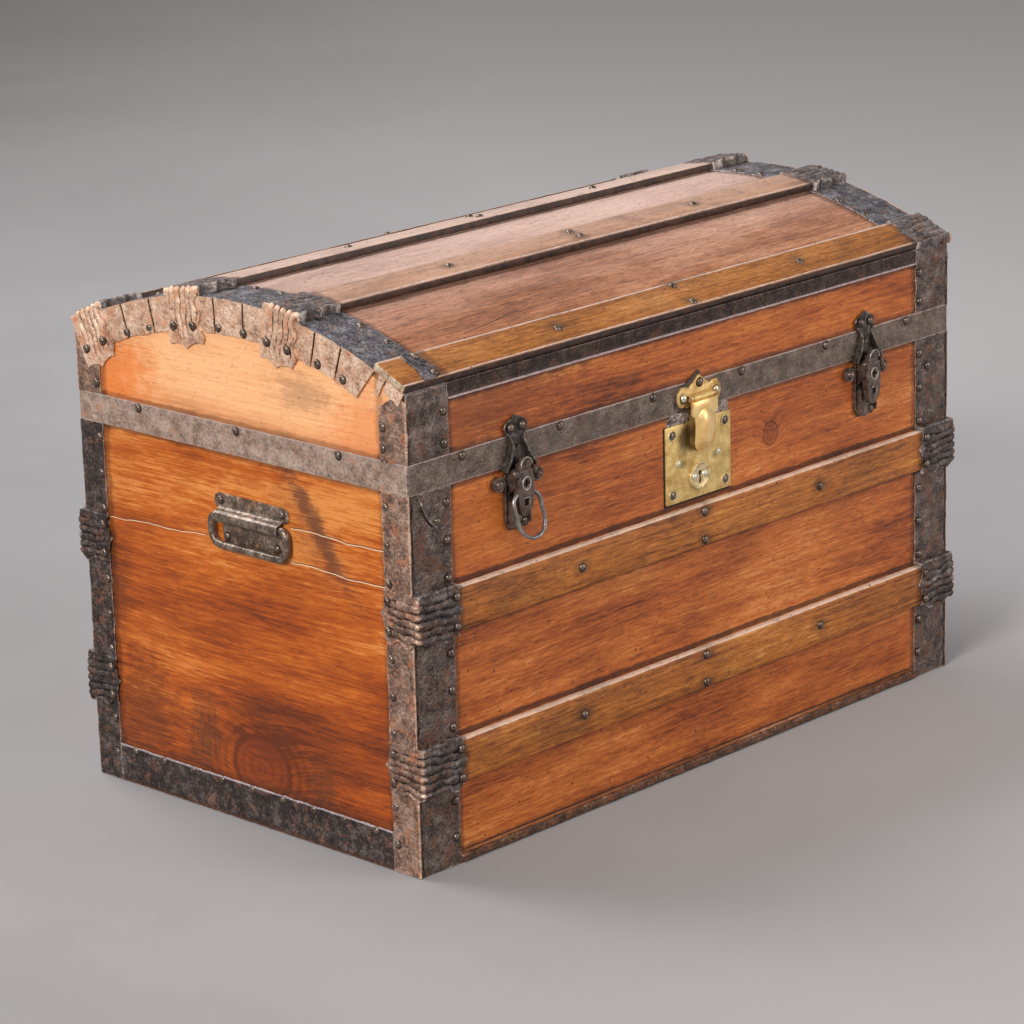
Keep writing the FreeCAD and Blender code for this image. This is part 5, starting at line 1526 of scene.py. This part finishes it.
def makeLever():
    half = millimetres([(0, 382.2), (9.6, 382.2), (10.4, 377), (11.2, 368), (11.2, 360), (10.3, 351.5), (8.2, 343),
                        (5.2, 337.2), (0, 335)])
    body = cutPlate("lever", eased(bothSides(half), 0.0016), latch["back"], latch["face"])
    cross = [(1.3, 4), (-1.3, 4), (-1.3, 1.3), (-4, 1.3), (-4, -1.3), (-1.3, -1.3), (-1.3, -4), (1.3, -4), (1.3, -1.3),
             (4, -1.3), (4, 1.3), (1.3, 1.3)]
    cross = [(u, v + latch["crossZ"] * 1000) for u, v in cross]
    square = [(u, v + latch["squareZ"] * 1000) for u, v in ((-3, -3.4), (3, -3.4), (3, 3.4), (-3, 3.4))]
    dark = []
    for outline in (cross, square):
        cutOut(body, cutPlate("cutter", millimetres(outline), latch["face"] - 0.0030, 0.2600))
        # painted shade: a dark plate at the bottom of each recess
        wider = [(u * 1.15, v) for u, v in outline]
        dark.append(cutPlate("dark", millimetres(wider), latch["face"] - 0.0036, latch["face"] - 0.0028))
    soften(body, 0.0009, 2, 50)
    slope, start, above = latch["tip"]
    moved(body, lambda co: Vector((co.x, co.y, co.z - slope * max(0.0, start - co.y) if co.z > above else co.z)))
    nose = bow(8.9, 9.4, 0, 386.4, range(0, 181, 12))
    nose = cutPlate("nose", millimetres(nose), latch["face"] - 0.0028, latch["face"] + 0.0004, 0.0007,
                    crown=[(0.0014, 0), (0.0004, -0.0009)])
    neck = cutPlate("neck", millimetres([(-8.5, 379), (8.5, 379), (8.5, 389), (-8.5, 389)]), 0.2450,
                    latch["face"] - 0.0018)
    parts = [body, nose, neck]
    for part in parts:
        part.data.transform(frontView)
    rims = [ringRim("rim", 0.0057, 0.0008, (0, latch["crossZ"], latch["face"] + 0.0003), stretch=1.12)]
    arch = bow(8.0, 8.4, 0, 386.6, range(180, -1, -15))
    rims.append(flangeWall("rim", millimetres(arch), [0.0012] * len(arch), latch["face"], 0.0010))
    rims.append(flangeWall("rim", millimetres([(-3.9, 354.6), (3.9, 354.6), (3.9, 346.4)]), [0.0014] * 3,
                            latch["face"] - 0.0006, 0.0010))
    for part in dark:
        part.data.transform(frontView)
    return smooth(joined("leverModel", *parts), 40), joined("leverGaps", *dark), joined("leverRims", *rims)


def makeLatchBase():
    outline = millimetres([(-17, 379), (17, 379), (17, 331), (14, 325.5), (7, 323), (1.5, 320), (-1.5, 320),
                           (-7, 323), (-14, 325.5), (-17, 331)])
    plate = cutPlate("plate", eased(outline, 0.0018), 0.2353, 0.2390, 0.0006, crown=[(0.0018, 0), (0.0005, -0.0010)])
    plate.data.transform(frontView)
    parts = [plate]
    for side in (-1, 1):
        x = side * latch["bossX"]
        disc = cutPlate("boss", circle(0.0075, x, latch["bossZ"]), 0.2353, 0.2418, 0.0014,
                        crown=[(0.0016, 0), (0.0006, -0.0008)], view=frontView)
        knob = nailModel(0.0054, 0.0052)
        knob.data.transform(frontView @ Matrix.Translation((x, latch["bossZ"], 0.2404)))
        low, high = sorted((side * 0.010, x))
        arm = block("arm", (low, -0.2396, latch["bossZ"] - 0.0042), (high, -0.2353, latch["bossZ"] + 0.0042), 0.0006)
        y0, z0 = latch["earY"], latch["earZ"]
        eye = bow(0.0050, 0.0050, y0, z0, range(60, 271, 15))
        cheek = eye + [(-0.2478, 0.366), (-0.2388, 0.357), (-0.2388, 0.3795), (-0.2420, 0.3840)]
        ear = cutPlate("ear", cheek, min(side * 0.0117, side * 0.0140), max(side * 0.0117, side * 0.0140), 0.0005,
                       view=sideView)
        stud = nailModel(0.0040, 0.0026)
        stud.data.transform(Matrix.Translation((side * 0.0140, y0, z0)) @ Matrix.Rotation(side * math.pi / 2, 4, "Y"))
        rail = block("rail", (side * 0.0128 - 0.0012, -0.2440, 0.326), (side * 0.0128 + 0.0012, -0.2380, 0.352), 0.0006)
        parts += [disc, knob, arm, ear, stud, rail]
    return smooth(joined("latchBaseModel", *parts), 40)


def makeLatches():
    lever, gaps, rims = makeLever()
    models = {"catch": makeCatch(), "lever": lever, "gaps": gaps, "rims": rims, "base": makeLatchBase()}
    catches = []
    for side, x in latch["places"].items():
        there = Matrix.Translation((x, 0, 0))
        catches.append(twin(models["catch"], "catch", there))
        moving = side + "_lever"
        for key, name, body, *look in (("lever", "LatchLever", moving, "leverIron", side + "_latch_lever"),
                                       ("rims", "LeverRims", moving, "leverRim"),
                                       ("gaps", "LeverGaps", moving, "darkGap"),
                                       ("base", "LatchBase", "base", "leverIron", side + "_latch_base", "latch_pins")):
            inHardware(twin(models[key], side + name, there), body, *look)
    inHardware(joined("latchCatches", *catches), "lid", "latchIron", "latch_catches")
    discard(*models.values())
    lean, sway = math.radians(latch["lean"]), math.radians(latch["sway"])
    top, y = latch["barZ"], latch["barY"]

    def hang(u, v):             # the ring runs through the lever, leans out and sways to the right
        drop = top - v
        u = u + drop * math.sin(sway)
        return Vector((latch["places"]["left"] + u, y - drop * math.sin(lean), top - drop * math.cos(lean)))
    path = roundPath(0.0185, top, 0.3135, 0.010, 0.0182, hang, 64)
    ring = wireLoop("leftLatchRing", path, 0.0021, (0, -math.cos(lean), math.sin(lean)))
    dent(ring, "ragged", 0.0004, weight=lambda co: 1 if co.z < top - 0.004 else 0)
    inHardware(ring, "ring", "ringSteel", "left_latch_ring")


makeLatches()
print("latches fitted")

# End handles

handle = {
    "back": 0.4153,
    "face": 0.4170,
    "axisX": -0.42125,
    "axisZ": 0.321,
    "middleY": -0.017,
    "rod": 0.0041,
}


def makeHandles():
    outline = millimetres([(-30, 343), (63, 343), (68, 341), (70, 337), (70, 330.5), (66, 327), (59.5, 326), (59, 300),
                           (57, 294), (52, 292), (45, 294.6), (37, 292.6), (21, 289.8), (5, 289.4), (0, 290.4),
                           (-3, 294), (-8, 290.6), (-14, 288.8), (-21, 291), (-25.5, 297), (-26, 326), (-31, 327),
                           (-35, 329), (-36, 333), (-36, 338), (-34, 341)])
    plate = cutPlate("plate", eased(outline, 0.002), handle["back"], handle["face"], 0.0005, view=endView)
    profile = [(-0.4168, 0.3345), (-0.4172, 0.3318), (-0.4186, 0.3292), (-0.4210, 0.3278), (-0.4240, 0.3268),
               (-0.4264, 0.3248), (-0.4275, 0.3220), (-0.4274, 0.3190), (-0.4262, 0.3166), (-0.4240, 0.3150),
               (-0.4212, 0.3146)]
    hood = sheet("hood", (0, -0.0448, 0), (1, 0, 0), (0, 0.0896, 0), (40, 36))

    def where(co):
        x, z = along(profile, co.x)
        return Vector((x, handle["middleY"] + co.y * (1.02 - 0.02 * co.x), z))
    moved(hood, where)
    dent(hood, "ragged", 0.0005)
    outward(hood)
    if sum(face.normal.x for face in hood.data.polygons) > 0:
        worked(hood, "FACE", anywhere, bpy.ops.mesh.flip_normals)
    thicken(hood, 0.0014)
    hood.name = "leftHandleHood"
    smooth(hood, 50)
    plate.name = "leftHandlePlate"
    dent(plate, "pitted", 0.0002)

    def place(u, v):
        return Vector((handle["axisX"], handle["middleY"] + u, v))
    path = roundPath(0.0539, handle["axisZ"], 0.2911, 0.0075, 0.013, place, 96)
    bail = wireLoop("leftHandleBail", path, handle["rod"], (-1, 0, 0), 14)
    dent(bail, "ragged", 0.0007)
    for name, model, nodeName, body, finish in (("HandlePlate", plate, "_handle_plate", "base", "handleIron"),
                                                ("HandleHood", hood, "_handle_plate", "base", "hoodIron"),
                                                ("HandleBail", bail, "_handle_bail", "{}_bail", "hoodIron")):
        copy = twin(model, "right" + name, mirrorX)
        inHardware(model, body.format("left"), finish, "left" + nodeName)
        inHardware(copy, body.format("right"), finish, "right" + nodeName)


makeHandles()
print("handles fitted")

# The tab on the bare end of the front shoulder slat

def makeTab():
    outline = millimetres([(-383.4, 21.6), (-375.4, 21.8), (-369.5, 13.5), (-363.8, 3), (-363.2, -6), (-368, -16),
                           (-376, -21.3), (-388, -21.5), (-391.5, -20), (-386.5, -9), (-385.5, 3), (-387, 12)])
    top = domeZ + domeR + trunk["slat"]
    tab = cutPlate("slatTab", eased(outline, 0.002), top - 0.0004, top + 0.0013, 0.0005,
                   crown=[(0.0016, 0.0003), (0.0010, -0.0004)])
    tab.data.transform(rolled(trunk["domeSlats"][0]))
    handOver(tab, "lid", "clamp_iron", "domeIron", "lid_slat_tab")
    ends = []
    for low, high in ((-0.0206, 0.0004), (0.0010, 0.0206)):     # pale end grain in two plates
        ends.append(block("endGrain", (-halfLength - 0.0009, low, domeZ + domeR + 0.0008),
                          (-halfLength + 0.0004, high, top - 0.0004), 0.0005))
    grain = joined("slatEndGrain", *ends)
    grain.data.transform(rolled(trunk["domeSlats"][0]))
    trimmed(grain, (0, -0.2372, 0), (0, -1, 0))
    handOver(smooth(grain, 40), "lid", "slat_wood", "endGrain", "lid_slat_front_shoulder")


makeTab()
print("tab fitted")

dress = {
    "frontWood": "front_board back_board lid_front_board lid_back_board",
    "endWood": "left_end_board right_end_board lid_left_end_board lid_right_end_board",
    "bottomWood": "bottom_board",
    "latchIron": "lock_case lock_bolt",
    "hingeIron": "hinge_base_leaves hinge_lid_leaves hinge_pins",
}
for look, names in dress.items():
    for name in names.split():
        nodes[name].data.materials.clear()
        nodes[name].data.materials.append(finishes[look])

# Studio

studio = {
    "cameraAt": (-2.835549, -2.693589, 1.377782),
    "azimuth": -46.17,
    "elevation": 16.324,
    "roll": -1.536,
    "focal": 3817.71 / 1024 * 36,
    "floor": (rgb(139, 137, 138), rgb(180, 177, 178)),
    "sky": (rgb(214, 212, 212), 0.52),
    "key": {"at": (-7.6, -2.0, 4.5), "size": 3.1, "power": 545, "colour": (1.0, 0.96, 0.9)},
    "fill": {"at": (1.6, -3.6, 1.9), "size": 2.4, "power": 50, "colour": (1.0, 0.98, 0.95)},
    "low": {"at": (2.0, -2.6, 0.42), "size": 0.55, "power": 4.0, "colour": (1.0, 0.98, 0.95)},
    "top": {"at": (-0.6, 2.2, 3.0), "size": 2.6, "power": 105, "colour": (0.97, 0.97, 1.0)},
}


def placeCamera():
    azimuth, elevation, roll = (math.radians(studio[key]) for key in ("azimuth", "elevation", "roll"))
    back = Vector((math.sin(azimuth) * math.cos(elevation), -math.cos(azimuth) * math.cos(elevation),
                   math.sin(elevation)))
    right = (-back).cross(Vector((0, 0, 1))).normalized()
    up = right.cross(-back)
    across = right * math.cos(roll) + up * math.sin(roll)
    rise = up * math.cos(roll) - right * math.sin(roll)
    camera = bpy.data.objects.new("camera", bpy.data.cameras.new("camera"))
    scene.collection.objects.link(camera)
    camera.data.lens = studio["focal"]
    camera.data.sensor_width = 36
    camera.data.clip_end = 60
    turn = Matrix((across, rise, back)).transposed().to_4x4()
    camera.matrix_world = Matrix.Translation(studio["cameraAt"]) @ turn
    scene.camera = camera


def placeLamp(name):
    look = studio[name]
    lamp = bpy.data.objects.new(name + "Lamp", bpy.data.lights.new(name + "Lamp", "AREA"))
    scene.collection.objects.link(lamp)
    lamp.data.shape = "DISK"
    lamp.data.size = look["size"]
    lamp.data.energy = look["power"]
    lamp.data.color = look["colour"]
    lamp.location = look["at"]
    lamp.rotation_euler = (Vector((0, 0, 0.25)) - Vector(look["at"])).to_track_quat("-Z", "Y").to_euler()


placeCamera()
for name in ("key", "fill", "low", "top"):
    placeLamp(name)
scene.view_settings.view_transform = "Standard"
world = bpy.data.worlds.new("studio")
scene.world = world
world.use_nodes = True
for socket, value in zip(("Color", "Strength"), studio["sky"]):
    world.node_tree.nodes["Background"].inputs[socket].default_value = value
floorFinish = Finish("floorFinish")
cloudy = floorFinish.noise(floorFinish.place, 1.6, 5, 0.6)
across, away, _ = floorFinish.axes()
# painted light: the floor's colour shifts across it to even out the lamps' light
paintedFloorLight = (across - away) * 0.44 + (cloudy - 0.5) * 0.5 + 0.5 + (across + away).fade(0.4, 5.0) * 0.5
floorMaterial = floorFinish.surface(cloudy, 0.001, 0.2, Roughness=0.85, Base_Color=floorFinish.ramp(
    paintedFloorLight, list(zip((0.0, 1.0), studio["floor"]))))
bpy.ops.mesh.primitive_plane_add(size=60, location=(0, 0, 0))
floor = added("studioFloor")
floor.data.materials.append(floorMaterial)
print("studio set")

objectMode()
